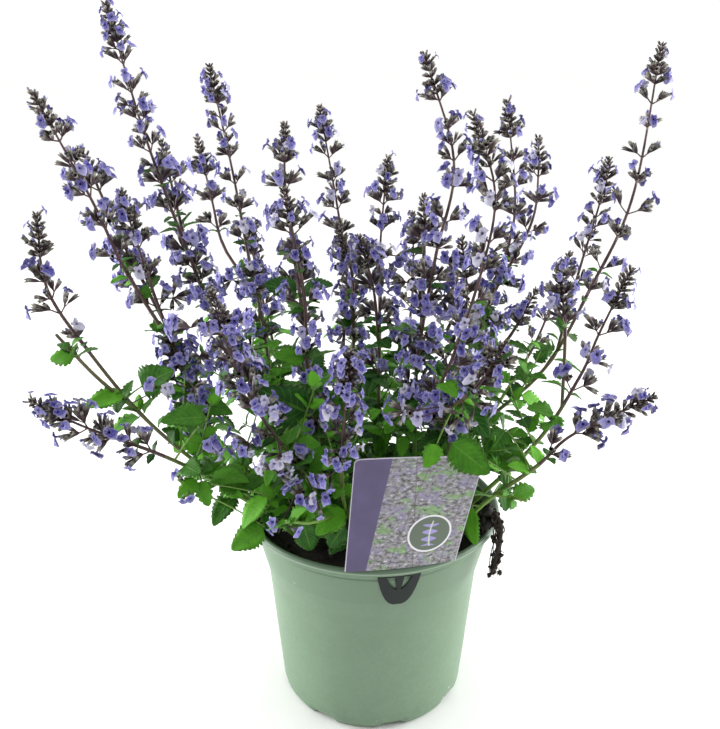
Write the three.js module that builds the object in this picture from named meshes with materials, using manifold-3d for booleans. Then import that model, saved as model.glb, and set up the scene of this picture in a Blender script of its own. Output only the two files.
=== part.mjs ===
// Catmint (Nepeta) in its three-litre nursery pot, with the plant label and a dry root over the rim.
// Millimetres, +Z up, the pot stands on z = 0 with its axis on the z axis, the label faces -Y.

import * as THREE from "three";
import { mergeVertices } from "three/addons/utils/BufferGeometryUtils.js";
import Module from "manifold-3d";

const wasm = await Module();
wasm.setup();

// ---------------------------------------------------------------- driving dimensions

const POT_HEIGHT = 155;
const LIP_RADIUS = 95;
const LIP_HEIGHT = 4.6;
const COLLAR_TOP_RADIUS = 90.5;
const COLLAR_FOOT_RADIUS = 80;
const COLLAR_FOOT_Z = 107;
const WALL_STEP = 0.9;
const WALL_FOOT_RADIUS = 70.5;
const BASE_RADIUS = 67;
const BASE_CHAMFER = 6;
const WALL = 1.8;
const FLOOR_TOP = 5;
const BASE_RECESS = 2.6;
const INNER_FOOT_RADIUS = 68.2;
const POT_SIDES = 32;
const CENTRE_PAD_RADIUS = 27;
const BASE_RING_RADIUS = 55;
const LIP_ROLL = 3;
const INNER_LIP_Z = POT_HEIGHT - LIP_HEIGHT + 1.6;
const DRAIN_COUNT = 8;
const DRAIN_WIDTH = 17;
const DRAIN_HEIGHT = 5;
const DRAIN_TURN = -1.36;

const GAP = 0.35;
const SOIL_TOP = 142;
const SOIL_SIDES = 16;
const SOIL_MARGIN = 0.7;
const SOIL_RINGS = [0.82, 0.58, 0.32];
const SOIL_ROUGHNESS = 4.5;
const STEM_FOOT_Z = 131;
const HOLE_MARGIN = 2;

const LABEL_FOOT_WIDTH = 75.5;
const LABEL_TOP_WIDTH = 81;
const LABEL_FOOT_Z = POT_HEIGHT + 0.4;
const LABEL_TOP_Z = 240;
const LABEL_FOOT_OUT = 93.2;
const LABEL_SHIFT = 0.6;
const LABEL_LEAN = 0.085;
const LABEL_TWIST = 0.00155;
const LABEL_TILT = 0.098;
const LABEL_TURN = 0.19;
const LABEL_BOW = 0.002;
const LABEL_FLATTENING = 0.000033;
const LABEL_CORNER = 3.5;
const LABEL_SHEET = 0.9;
const STRAP_OUT = 86.5;
const SLOT_Z = POT_HEIGHT - LIP_HEIGHT - 2.3;
const TONGUE_WIDTH = 30;
const TONGUE_LENGTH = 27;
const TONGUE_BOW = 0.0057;
const TONGUE_TAPER = 0.62;

const SIDE_STEM = 1.25;
const LEAFY_TIP = 0.9;
const SQUARE_CORNER = 1.12;
const FIRST_PAIR = { main: 34, side: 14 };
const LARGE_LEAF = 24;
const MEDIUM_LEAF = 16;
const SMALLEST_LEAF = 9;
const LEAF_HALF_WIDTH = 0.36;
const LEAF_FOLD = 0.32;
const LEAF_BAND = 1.1;
const BLADE = 0.8;

const RACHIS = 1.25;
const WHORL_STEP = 20;
const FIRST_WHORL = 9;
const BARE_TOP = 14;
const WHORL_HALF = 2.6;
const TOP_CLUSTER = { from: 8, to: 4, size: 0.6 };
const FLORET_LENGTH = 10;
const FLORET_MOUTH = 3.8;
const BUD_SHARE = 0.3;

const ROOT_THICK = 3.1;
const ROOT_THIN = 1.6;
const SEEDS = { soil: 77, root: 5 };

const shoot = (bloom, leafy, ...route) => ({ bloom, leafy, route });
const stem = (thick, ...shoots) => ({ thick, shoots });

// Every shoot runs from its foot in the soil, or from the stem it branches off, out to its tip: the
// length of its flowering top, the length of its largest leaves, then the points that it passes.
const STEMS = [
  stem(
    1.8,
    shoot(150, 30,
      [-30, 10, 0], [-80, 15, 230], [-110, 15, 285], [-130, 20, 340], [-155, 25, 420], [-175, 30, 505]),
    shoot(60, 18, [-135, 20, 345], [-140, 35, 375], [-150, 50, 415]),
  ),
  stem(
    1.8,
    shoot(90, 32,
      [-50, -10, 0], [-100, -15, 175], [-125, -20, 240],
      [-135, -25, 285], [-145, -30, 325], [-160, -35, 395]),
    shoot(120, 20, [-135, -25, 285], [-160, -40, 345], [-175, -45, 390], [-200, -55, 455]),
    shoot(60, 16, [-140, -30, 320], [-165, -5, 345], [-180, 5, 375], [-195, 10, 415]),
  ),
  stem(
    1.8,
    shoot(140, 30,
      [-20, 30, 0], [-70, 45, 200], [-85, 60, 280], [-95, 70, 330], [-105, 80, 390], [-120, 90, 465]),
    shoot(80, 18, [-90, 65, 300], [-115, 85, 330], [-125, 100, 365], [-135, 110, 410]),
  ),
  stem(
    1.7,
    shoot(60, 28,
      [-10, -20, 0], [-25, -25, 185], [-40, -35, 235], [-45, -45, 290], [-45, -50, 330], [-55, -60, 400]),
    shoot(75, 16, [-45, -45, 305], [-55, 0, 350], [-60, 10, 390], [-60, 20, 430]),
  ),
  stem(
    1.7,
    shoot(130, 28, [0, 40, 0], [-15, 60, 210], [-15, 70, 275], [-25, 85, 350], [-40, 100, 435]),
    shoot(75, 18, [-15, 70, 260], [-15, 50, 315], [-25, 40, 355]),
  ),
  stem(
    1.7,
    shoot(125, 28, [10, 10, 0], [5, 20, 215], [5, 25, 275], [5, 35, 340], [10, 40, 405]),
    shoot(75, 18, [5, 25, 265], [0, 0, 320], [-10, -10, 360]),
  ),
  stem(
    2,
    shoot(180, 30,
      [30, -10, 0], [30, -15, 210], [30, -20, 275], [40, -25, 350], [50, -25, 410], [30, -20, 475]),
    shoot(40, 14, [40, -25, 330], [35, 10, 350], [35, 25, 380]),
  ),
  stem(
    2,
    shoot(170, 30,
      [40, -35, 0], [50, -60, 230], [40, -65, 265], [50, -70, 300],
      [65, -70, 355], [70, -70, 400], [55, -70, 445]),
    shoot(50, 16, [45, -65, 255], [60, -95, 285], [75, -110, 320]),
  ),
  stem(
    1.7,
    shoot(120, 28,
      [40, 25, 0], [65, 50, 200], [85, 70, 270], [100, 80, 315], [110, 90, 360], [100, 95, 440]),
    shoot(85, 18, [95, 75, 290], [125, 100, 345], [130, 110, 385], [130, 120, 410]),
  ),
  stem(
    1.8,
    shoot(185, 30,
      [50, 5, 0], [75, 10, 205], [125, 15, 255], [155, 20, 315], [180, 25, 380], [190, 30, 480]),
    shoot(105, 18, [135, 15, 270], [155, 55, 320], [170, 70, 370], [175, 75, 400]),
  ),
  stem(
    1.7,
    shoot(100, 28, [55, -20, 0], [110, -40, 220], [135, -50, 275], [145, -50, 305], [160, -55, 350]),
    shoot(45, 16, [130, -45, 265], [130, -20, 300], [125, -10, 335]),
  ),
  stem(
    1.7,
    shoot(95, 28,
      [-55, -30, 0], [-105, -45, 195], [-150, -55, 245],
      [-185, -60, 300], [-205, -60, 340], [-205, -60, 385]),
    shoot(0, 20, [-155, -55, 255], [-175, -75, 285], [-190, -95, 320]),
  ),
  stem(
    1.6,
    shoot(90, 28,
      [-45, -45, 0], [-100, -70, 205], [-135, -85, 235], [-180, -95, 260], [-210, -100, 280]),
  ),
  stem(
    1.6,
    shoot(85, 30, [55, -40, 0], [75, -65, 190], [105, -80, 225], [125, -85, 250], [170, -95, 280]),
    shoot(0, 24, [80, -70, 200], [105, -100, 210], [120, -115, 225]),
  ),
  stem(
    1.8,
    shoot(120, 32, [-25, -40, 0], [-40, -65, 200], [-70, -85, 260], [-85, -100, 305], [-95, -105, 350]),
  ),
  stem(
    1.6,
    shoot(85, 30, [-5, -50, 0], [-20, -75, 195], [-20, -95, 250], [-15, -110, 315]),
    shoot(0, 24, [-15, -70, 190], [-40, -100, 195], [-55, -115, 205]),
  ),
  stem(
    1.6,
    shoot(90, 26, [35, 10, 0], [50, 0, 220], [60, 0, 275], [65, 0, 315], [60, 5, 355]),
    shoot(40, 18, [55, 0, 260], [95, 25, 270], [120, 35, 310]),
  ),
  stem(
    1.6,
    shoot(0, 30, [-60, 10, 0], [-90, -10, 185], [-120, -50, 190], [-130, -70, 210]),
    shoot(0, 24, [-90, -10, 180], [-120, 15, 205], [-140, 35, 240]),
  ),
  stem(
    1.7,
    shoot(85, 30, [-35, 45, 0], [-70, 95, 205], [-90, 125, 270], [-105, 145, 340]),
    shoot(0, 22, [-70, 100, 210], [-105, 90, 235], [-125, 90, 270]),
  ),
  stem(
    1.7,
    shoot(90, 30, [20, 50, 0], [25, 105, 210], [35, 135, 275], [35, 150, 345]),
    shoot(0, 24, [25, 100, 200], [0, 120, 220], [-20, 145, 255]),
  ),
  stem(
    1.7,
    shoot(90, 30, [55, 30, 0], [100, 70, 200], [135, 95, 250], [160, 110, 320]),
    shoot(0, 24, [100, 75, 205], [95, 110, 230], [90, 135, 270]),
  ),
];

// ---------------------------------------------------------------- small helpers

const V = (x, y, z) => new THREE.Vector3(x, y, z);
const UP = V(0, 0, 1);

// The same stream of numbers for the same seed, each from 0 to 1.
function dice(seed) {
  let state = (seed * 7919 + 12345) % 2147483647;
  const roll = () => {
    state = (state * 16807) % 2147483647;
    return state / 2147483647;
  };
  roll();
  roll();
  return roll;
}

function triangles(points, faces) {
  const flat = [];
  for (const face of faces) for (const i of face) flat.push(points[i].x, points[i].y, points[i].z);
  const geometry = new THREE.BufferGeometry();
  geometry.setAttribute("position", new THREE.Float32BufferAttribute(flat, 3));
  return geometry;
}

function solid(geometry) {
  const bare = geometry.index ? geometry.toNonIndexed() : geometry.clone();
  bare.deleteAttribute("normal");
  bare.deleteAttribute("uv");
  const merged = mergeVertices(bare, 1e-4);
  const made = new wasm.Manifold(
    new wasm.Mesh({
      numProp: 3,
      vertProperties: merged.attributes.position.array,
      triVerts: new Uint32Array(merged.index.array),
    }),
  );
  if (made.volume() < 0) throw new Error("a solid is inside out");
  return made;
}

// The outer body only: scraps and sealed hollows left by a join are dropped.
function mainBody(manifold) {
  const bodies = manifold.decompose();
  return bodies.reduce((best, b) => (b.volume() > best.volume() ? b : best));
}

function meshOf(name, manifold, colour, roughness) {
  const data = mainBody(manifold).getMesh();
  const geometry = new THREE.BufferGeometry();
  geometry.setAttribute("position", new THREE.BufferAttribute(new Float32Array(data.vertProperties), 3));
  geometry.setIndex(new THREE.BufferAttribute(new Uint32Array(data.triVerts), 1));
  geometry.computeVertexNormals();
  const material = new THREE.MeshStandardMaterial({ color: colour, roughness, metalness: 0 });
  material.flatShading = true;
  const mesh = new THREE.Mesh(geometry, material);
  mesh.name = name;
  return mesh;
}

// ---------------------------------------------------------------- curves

// Points along a route at even steps of its parameter, "cuts" per piece between two route points.
function sampled(route, cuts) {
  const curve = new THREE.CatmullRomCurve3(route, false, "catmullrom", 0.5);
  const count = (route.length - 1) * cuts;
  return Array.from({ length: count + 1 }, (_, i) => curve.getPoint(i / count));
}

function lengths(points) {
  const out = [0];
  for (let i = 1; i < points.length; i++) out.push(out[i - 1] + points[i].distanceTo(points[i - 1]));
  return out;
}

// Position and direction at a distance along a polyline.
function at(points, s) {
  const run = lengths(points);
  let i = 1;
  while (i < points.length - 1 && run[i] < s) i++;
  const t = (s - run[i - 1]) / (run[i] - run[i - 1]);
  const point = points[i - 1].clone().lerp(points[i], t);
  const along = points[i].clone().sub(points[i - 1]).normalize();
  return { point, along };
}

// The point of a polyline that lies nearest to a place.
function nearestOn(points, place) {
  const segment = new THREE.Line3();
  const feet = points
    .slice(1)
    .map((point, i) => segment.set(points[i], point).closestPointToPoint(place, true, V()));
  return feet.reduce((best, foot) => (foot.distanceTo(place) < best.distanceTo(place) ? foot : best));
}

// Leaves out the points where a polyline runs almost straight on.
function eased(points) {
  const leastBend = 0.11;
  const longest = 90;
  const kept = [points[0]];
  for (let i = 1; i < points.length - 1; i++) {
    const before = points[i].clone().sub(kept.at(-1));
    const after = points[i + 1].clone().sub(points[i]);
    if (before.angleTo(after) > leastBend || before.length() > longest) kept.push(points[i]);
  }
  return [...kept, points.at(-1)];
}

// The stretch of a polyline between two distances.
function stretch(points, from, to) {
  const nearEnd = 2;
  const run = lengths(points);
  const inner = points.filter((_, i) => run[i] > from + nearEnd && run[i] < to - nearEnd);
  return [at(points, from).point, ...inner, at(points, to).point];
}

// A direction square to "along", turned by an angle about it.
function sideways(along, angle) {
  const a = V(0, 1, 0).cross(along).normalize();
  const b = along.clone().cross(a);
  return a.multiplyScalar(Math.cos(angle)).addScaledVector(b, Math.sin(angle));
}

function ring(centre, along, radius, sides, turn) {
  return Array.from({ length: sides }, (_, i) =>
    centre.clone().addScaledVector(sideways(along, turn + (i * 2 * Math.PI) / sides), radius),
  );
}

// A closed tube with flat ends; radii run from "thick" to "thin".
function tube(points, thick, thin, sides) {
  const all = [];
  const faces = [];
  const last = points.length - 1;
  points.forEach((p, i) => {
    const along = points[Math.min(i + 1, last)].clone().sub(points[Math.max(i - 1, 0)]).normalize();
    all.push(...ring(p, along, thick + ((thin - thick) * i) / last, sides, Math.PI / 4));
  });
  for (let i = 0; i < last; i++)
    for (let j = 0; j < sides; j++) {
      const a = i * sides + j;
      const b = i * sides + ((j + 1) % sides);
      faces.push([a, b, b + sides], [a, b + sides, a + sides]);
    }
  for (let j = 1; j < sides - 1; j++) {
    faces.push([0, j + 1, j]);
    faces.push([last * sides, last * sides + j, last * sides + j + 1]);
  }
  return solid(triangles(all, faces));
}

// ---------------------------------------------------------------- room between the pieces

const taken = [];

function segmentDistance(a, b, c, d) {
  const u = b.clone().sub(a);
  const v = d.clone().sub(c);
  const w = a.clone().sub(c);
  const uu = u.dot(u);
  const vv = v.dot(v);
  const uv = u.dot(v);
  const uw = u.dot(w);
  const vw = v.dot(w);
  const bottom = uu * vv - uv * uv;
  let s = bottom > 1e-9 ? Math.min(1, Math.max(0, (uv * vw - vv * uw) / bottom)) : 0;
  const t = Math.min(1, Math.max(0, (uv * s + vw) / vv));
  s = Math.min(1, Math.max(0, (uv * t - uw) / uu));
  return w.addScaledVector(u, s).addScaledVector(v, -t).length();
}

// How close two blades of one stem may come, as a share of their rods' radii.
const OWN_SHARE = 0.4;
const RIM_MARGIN = { inside: 4, outside: 1, above: 1 };
const SOIL_CLEAR = 6;

// Whether the rods keep clear of the pot and of every rod of another owner. Leaves of one stem may
// come closer to each other, and their roots may touch the stem that they grow from.
function isClear(rods, owner) {
  for (const rod of rods) {
    for (const p of [rod.a, rod.b]) {
      const out = Math.hypot(p.x, p.y);
      const pastWall = out > COLLAR_TOP_RADIUS - RIM_MARGIN.inside - rod.r;
      const overRim = pastWall && out < LIP_RADIUS + RIM_MARGIN.outside + rod.r;
      if (overRim && p.z < POT_HEIGHT + RIM_MARGIN.above + rod.r) return false;
      if (out >= LIP_RADIUS && p.z < POT_HEIGHT) return false;
      if (p.z < SOIL_TOP + SOIL_CLEAR) return false;
    }
    for (const other of taken) {
      const own = other.owner === owner;
      if (own && (!rod.blade || (rod.root && !other.blade))) continue;
      const ownReach = OWN_SHARE * rod.r + (other.blade ? OWN_SHARE : 1) * other.r;
      const reach = own ? ownReach : rod.r + other.r + GAP;
      const mid = other.mid.distanceTo(rod.mid);
      if (mid > reach + rod.half + other.half) continue;
      if (segmentDistance(rod.a, rod.b, other.a, other.b) < reach) return false;
    }
  }
  return true;
}

function rodOf(a, b, r, more = {}) {
  return { a, b, r, mid: a.clone().add(b).multiplyScalar(0.5), half: a.distanceTo(b) / 2, ...more };
}

function take(rods, owner) {
  for (const rod of rods) taken.push({ ...rod, owner });
}

function takeLine(points, r, owner) {
  for (let i = 1; i < points.length; i++) take([rodOf(points[i - 1], points[i], r)], owner);
}

// ---------------------------------------------------------------- shoots, spikes and leaves

const shoots = [];
STEMS.forEach((stem, stemIndex) => {
  stem.shoots.forEach((plan, shootIndex) => {
    const route = plan.route.map(([x, y, z]) => V(x, y, z));
    const isMain = shootIndex === 0;
    // A main stem stands upright in its hole and leaves the soil straight; a side shoot branches off
    // the main one, a little below its bloom at the highest.
    const foot = isMain ? [route[0].clone().setZ(STEM_FOOT_Z)] : [];
    if (isMain) route[0].z = SOIL_TOP + 4;
    else {
      const main = shoots.at(-shootIndex);
      route[0] = nearestOn(stretch(main.points, 0, main.bare - 4), route[0]);
    }
    const points = [...foot, ...eased(sampled(route, 2))];
    const total = lengths(points).at(-1);
    const bare = total - plan.bloom;
    const green = plan.bloom ? stretch(points, 0, bare) : points;
    const rachis = plan.bloom ? stretch(points, bare + GAP, total) : null;
    const thick = isMain ? stem.thick : SIDE_STEM;
    shoots.push({ ...plan, stemIndex, shootIndex, isMain, points, bare, green, rachis, thick });
  });
});

const stemOwner = (shoot) => "stem" + shoot.stemIndex;
const spikeOwner = (shoot) => "spike" + shoot.stemIndex + "_" + shoot.shootIndex;
for (const shoot of shoots) {
  takeLine(shoot.green, shoot.thick, stemOwner(shoot));
  if (shoot.rachis) takeLine(shoot.rachis, RACHIS + 0.4, spikeOwner(shoot));
}

// One spike is a three-sided tube whose bands alternate: a bare band between two whorls, and in each
// whorl a band whose six faces are drawn out into flared florets in two layers.
function spike(shoot, seed) {
  const roll = dice(seed);
  const owner = spikeOwner(shoot);
  const run = lengths(shoot.rachis).at(-1);
  const swollen = RACHIS + 0.35;
  const stations = [{ s: 0, radius: RACHIS }];
  let s = FIRST_WHORL;
  while (s < run - BARE_TOP) {
    const share = s / run;
    const size = (share < 0.5 ? 1 : 1.26 - 0.52 * share) * (0.92 + 0.16 * roll());
    stations.push({ s: s - WHORL_HALF * size, radius: swollen, size });
    stations.push({ s: s + WHORL_HALF * size, radius: swollen });
    s += WHORL_STEP * (1.12 - 0.3 * share) * (0.94 + 0.12 * roll());
  }
  stations.push({ s: run - TOP_CLUSTER.from, radius: swollen, size: TOP_CLUSTER.size });
  stations.push({ s: run - TOP_CLUSTER.to, radius: RACHIS });

  const points = [];
  const faces = [[2, 1, 0]];
  const spots = stations.map((station) => at(shoot.rachis, station.s));
  stations.forEach((station, i) => {
    points.push(...ring(spots[i].point, spots[i].along, station.radius, 3, (i % 2) * (Math.PI / 3) + seed));
  });
  points.push(at(shoot.rachis, run).point);
  for (let i = 1; i < stations.length; i++) {
    const low = 3 * (i - 1);
    const high = 3 * i;
    const shift = i % 2 === 0 ? 1 : 0;
    for (let j = 0; j < 3; j++) {
      const next = (j + 1) % 3;
      const above = high + ((j + shift) % 3);
      const aboveNext = high + ((next + shift) % 3);
      const band = [[low + j, low + next, above], [low + next, aboveNext, above]];
      const { size } = stations[i - 1];
      band.forEach((face, layer) => {
        if (size) floret(points, faces, face, spots[i - 1], size, layer, owner, roll);
        else faces.push(face);
      });
    }
  }
  const top = 3 * (stations.length - 1);
  for (let j = 0; j < 3; j++) faces.push([top + j, top + ((j + 1) % 3), top + 3]);
  return solid(triangles(points, faces));
}

// Draws one face of the rachis out into a floret with a narrow root and a wide three-cornered mouth,
// or into a closed bud with a pointed tip.
function floret(points, faces, face, spot, size, layer, owner, roll) {
  const corners = face.map((i) => points[i]);
  const root = corners[0].clone().add(corners[1]).add(corners[2]).divideScalar(3);
  const out = root.clone().sub(spot.point);
  out.addScaledVector(spot.along, -out.dot(spot.along)).normalize();
  const lift = 0.2 + 0.62 * layer + 0.3 * (roll() - 0.5);
  const aim = out.clone().addScaledVector(spot.along, lift).normalize();
  const bud = roll() < BUD_SHARE;
  const long = FLORET_LENGTH * size * (0.86 + 0.28 * roll()) * (bud ? 0.8 : 1);
  const mouth = FLORET_MOUTH * (0.3 + 0.7 * size) * (bud ? 0.4 : 1);
  for (const share of [1, 0.72]) {
    const centre = root.clone().addScaledVector(aim, long * share);
    const rods = [rodOf(spot.point, centre, mouth * 0.75)];
    if (!isClear(rods, owner)) continue;
    take(rods, owner);
    if (bud) {
      const point = points.push(centre) - 1;
      for (let k = 0; k < 3; k++) faces.push([face[k], face[(k + 1) % 3], point]);
      return;
    }
    const lip = corners.map((corner) => {
      const arm = corner.clone().sub(root);
      arm.addScaledVector(aim, -arm.dot(aim)).normalize();
      return centre.clone().addScaledVector(arm, mouth);
    });
    const first = points.length;
    points.push(...lip);
    for (let k = 0; k < 3; k++) {
      const n = (k + 1) % 3;
      faces.push([face[k], face[n], first + n], [face[k], first + n, first + k]);
    }
    faces.push([first, first + 1, first + 2]);
    return;
  }
  faces.push(face);
}

// Half outlines of a leaf from its root to its tip: share of the length, share of the half width.
const OUTLINES = {
  large: [[0.1, 0.84], [0.27, 1], [0.34, 0.8], [0.56, 0.84], [0.64, 0.58]],
  medium: [[0.13, 0.88], [0.42, 0.98], [0.5, 0.7]],
  small: [[0.2, 0.92], [0.56, 0.78]],
};

// A leaf: a folded blade with a toothed edge that bends down towards its tip.
function leafShape(root, aim, face, long, kind, bend) {
  const across = face.clone().cross(aim).normalize();
  const wide = long * LEAF_HALF_WIDTH;
  const place = (u, v, under) =>
    root
      .clone()
      .addScaledVector(aim, u * long)
      .addScaledVector(across, v * wide)
      .addScaledVector(face, Math.abs(v) * wide * LEAF_FOLD - bend * long * u * u - (under ? BLADE : 0));
  // The fans of a small leaf meet in its tip, those of a larger one near its middle.
  return { outline: OUTLINES[kind], middle: kind === "small" ? 1 : 0.48, place };
}

// Draws one square face of the stem out into a leaf. "gate" holds that face's corners: lower left,
// lower right, upper right, upper left. Both faces of the blade are split alike, in fans.
function leafSkin(points, faces, gate, { outline, middle, place }) {
  const layers = [false, true].map((under) => {
    const add = (u, v) => points.push(place(u, v, under)) - 1;
    const left = outline.map(([u, v]) => add(u, -v));
    const right = outline.map(([u, v]) => add(u, v)).reverse();
    const tip = add(1, 0);
    const [first, last] = under ? [gate[0], gate[1]] : [gate[3], gate[2]];
    const loop = [first, ...left, tip, ...right, last];
    return { loop, hub: middle < 1 ? add(middle, 0) : tip };
  });
  for (const under of [0, 1]) {
    const { loop, hub } = layers[under];
    loop.forEach((a, i) => {
      const b = loop[(i + 1) % loop.length];
      if (a === hub || b === hub) return;
      faces.push(under ? [hub, b, a] : [hub, a, b]);
    });
  }
  const [up, low] = layers.map((layer) => layer.loop);
  for (let i = 0; i < up.length - 1; i++) {
    faces.push([up[i], low[i], low[i + 1]], [up[i], low[i + 1], up[i + 1]]);
  }
}

// The room that a leaf takes: rods out from its midrib to its edges, and one along the midrib.
function leafRods({ place }, kind) {
  const rows = kind === "small" ? [0.2, 0.6] : [0.12, 0.36, 0.62, 0.86];
  const r = kind === "small" ? 2 : 2.4;
  const rods = [];
  for (const u of rows) {
    const v = u < 0.7 ? 0.86 : 0.5;
    const what = { blade: true, root: u < 0.3 };
    rods.push(rodOf(place(u, 0, true), place(u, v, true), r, what));
    rods.push(rodOf(place(u, 0, true), place(u, -v, true), r, what));
  }
  rods.push(rodOf(place(0.3, 0, true), place(1, 0, true), 1.4, { blade: true }));
  return rods;
}

// Pairs of leaves up a green shoot, each pair square to the one below, smaller towards the bloom.
function leafPairs(shoot, seed) {
  const owner = stemOwner(shoot);
  const run = lengths(shoot.green).at(-1);
  const pairs = [];
  let s = shoot.isMain ? FIRST_PAIR.main : FIRST_PAIR.side;
  for (let pair = 0; s < run + 6; pair++) {
    const place = Math.min(s, run - 2.5);
    const share = place / run;
    const spot = at(shoot.green, place);
    const leaves = [];
    for (const side of [0, 1]) {
      const roll = dice(seed * 64 + pair * 2 + side);
      const corner = (pair % 2) + 2 * side;
      const turn = seed + (corner + 1) * (Math.PI / 2);
      const long = shoot.leafy * (1.04 - 0.36 * share) * (0.88 + 0.24 * roll());
      const bend = 0.12 + 0.16 * roll();
      for (let attempt = 0; attempt < 8; attempt++) {
        const size = long * (1 - 0.06 * attempt);
        if (size < SMALLEST_LEAF) break;
        const kind = size > LARGE_LEAF ? "large" : size > MEDIUM_LEAF ? "medium" : "small";
        const dodge = (attempt % 2 ? 0.16 : -0.16) * Math.ceil(attempt / 2);
        const out = sideways(spot.along, turn + dodge);
        const rise = 0.28 + 0.3 * (attempt % 3);
        const aim = out.addScaledVector(spot.along, rise).addScaledVector(UP, 0.1).normalize();
        const face = spot.along.clone().addScaledVector(UP, 0.7);
        face.addScaledVector(aim, -face.dot(aim)).normalize();
        const root = spot.point.clone().addScaledVector(aim, 0.8 * shoot.thick);
        const shape = leafShape(root, aim, face, size, kind, bend);
        const rods = leafRods(shape, kind);
        if (!isClear(rods, owner)) continue;
        take(rods, owner);
        leaves.push({ corner, shape });
        break;
      }
    }
    if (leaves.length) pairs.push({ s: place, leaves });
    s += shoot.isMain ? 45 + 0.3 * s : 48;
  }
  return pairs;
}

// A green shoot: a square tube whose faces are drawn out into leaves at each pair.
function leafyShoot(shoot, seed) {
  const pairs = leafPairs(shoot, seed);
  const run = lengths(shoot.green);
  const thin = shoot.bloom ? SIDE_STEM : LEAFY_TIP;
  const isEnd = (i) => i === 0 || i === run.length - 1;
  const clearOfPairs = (s) => pairs.every((pair) => Math.abs(pair.s - s) > 3);
  const stations = run.filter((s, i) => isEnd(i) || clearOfPairs(s)).map((s) => ({ s }));
  for (const { s, leaves } of pairs) stations.push({ s: s - LEAF_BAND, leaves }, { s: s + LEAF_BAND });
  stations.sort((a, b) => a.s - b.s);
  const points = [];
  const faces = [[0, 2, 1], [0, 3, 2]];
  for (const { s } of stations) {
    const { point, along } = at(shoot.green, s);
    const radius = shoot.thick + ((thin - shoot.thick) * s) / run.at(-1);
    points.push(...ring(point, along, radius * SQUARE_CORNER, 4, Math.PI / 4 + seed));
  }
  for (let k = 0; k < stations.length - 1; k++)
    for (let j = 0; j < 4; j++) {
      const a = 4 * k + j;
      const b = 4 * k + ((j + 1) % 4);
      const leaf = stations[k].leaves?.find((one) => one.corner === j);
      if (leaf) leafSkin(points, faces, [a, b, b + 4, a + 4], leaf.shape);
      else faces.push([a, b, b + 4], [a, b + 4, a + 4]);
    }
  const last = 4 * (stations.length - 1);
  faces.push([last, last + 1, last + 2], [last, last + 2, last + 3]);
  return solid(triangles(points, faces));
}

// ---------------------------------------------------------------- pot

function potSolid() {
  const top = POT_HEIGHT;
  const under = POT_HEIGHT - LIP_HEIGHT;
  // Up the outside from the centre of the base, over the lip and down the inside.
  const profile = [
    [0, 0],
    [CENTRE_PAD_RADIUS - 1, 0],
    [CENTRE_PAD_RADIUS + 1, BASE_RECESS],
    [BASE_RING_RADIUS - 1, BASE_RECESS],
    [BASE_RING_RADIUS + 1, 0],
    [BASE_RADIUS, 0],
    [WALL_FOOT_RADIUS, BASE_CHAMFER],
    [COLLAR_FOOT_RADIUS - WALL_STEP, COLLAR_FOOT_Z - 1],
    [COLLAR_FOOT_RADIUS, COLLAR_FOOT_Z],
    [COLLAR_TOP_RADIUS, under],
    [LIP_RADIUS - 0.4, under],
    [LIP_RADIUS, top - 0.4 * LIP_ROLL],
    [LIP_RADIUS - 0.5 * LIP_ROLL, top],
    [LIP_RADIUS - LIP_ROLL, top],
    [COLLAR_TOP_RADIUS - WALL, INNER_LIP_Z],
    [COLLAR_FOOT_RADIUS - WALL, COLLAR_FOOT_Z],
    [INNER_FOOT_RADIUS, FLOOR_TOP],
    [0, FLOOR_TOP],
  ].map(([r, z]) => new THREE.Vector2(r, z));
  const lathe = new THREE.LatheGeometry(profile, POT_SIDES).rotateX(Math.PI / 2);
  let pot = solidAnyWay(lathe);
  // Each notch runs through the wall's foot from just outside the base ring's inner edge.
  const notchDepth = 16;
  for (let i = 0; i < DRAIN_COUNT; i++) {
    const box = new THREE.BoxGeometry(notchDepth, DRAIN_WIDTH, 2 * DRAIN_HEIGHT);
    box.translate(BASE_RADIUS - 3, 0, 0).rotateZ(DRAIN_TURN + (i * 2 * Math.PI) / DRAIN_COUNT);
    pot = pot.subtract(solid(box));
  }
  // The slot through the collar that the label's tongue passes.
  const slotDepth = 14;
  const slot = new THREE.BoxGeometry(slotDepth, TONGUE_WIDTH + 2 * GAP, LABEL_SHEET + 2 * GAP);
  slot.translate(COLLAR_TOP_RADIUS - 1, 0, SLOT_Z + LABEL_SHEET / 2).rotateZ(LABEL_TURN - Math.PI / 2);
  return pot.subtract(solid(slot));
}

// A lathe whose profile runs the other way is turned outside in; this turns it back.
function solidAnyWay(geometry) {
  const bare = geometry.index ? geometry.toNonIndexed() : geometry.clone();
  const p = bare.attributes.position;
  let volume = 0;
  const a = V();
  const b = V();
  const c = V();
  for (let i = 0; i < p.count; i += 3) {
    a.fromBufferAttribute(p, i);
    b.fromBufferAttribute(p, i + 1);
    c.fromBufferAttribute(p, i + 2);
    volume += a.dot(b.cross(c)) / 6;
  }
  if (volume < 0)
    for (let i = 0; i < p.count; i += 3) {
      a.fromBufferAttribute(p, i);
      b.fromBufferAttribute(p, i + 2);
      p.setXYZ(i, b.x, b.y, b.z);
      p.setXYZ(i + 2, a.x, a.y, a.z);
    }
  return solid(bare);
}

// ---------------------------------------------------------------- soil

// The pot's inner radius at a height.
function innerRadius(z) {
  const knee = COLLAR_FOOT_RADIUS - WALL;
  const rim = COLLAR_TOP_RADIUS - WALL;
  const share = (z - FLOOR_TOP) / (COLLAR_FOOT_Z - FLOOR_TOP);
  if (z < COLLAR_FOOT_Z) return INNER_FOOT_RADIUS + (knee - INNER_FOOT_RADIUS) * share;
  return knee + ((rim - knee) * (z - COLLAR_FOOT_Z)) / (INNER_LIP_Z - COLLAR_FOOT_Z);
}

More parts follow.
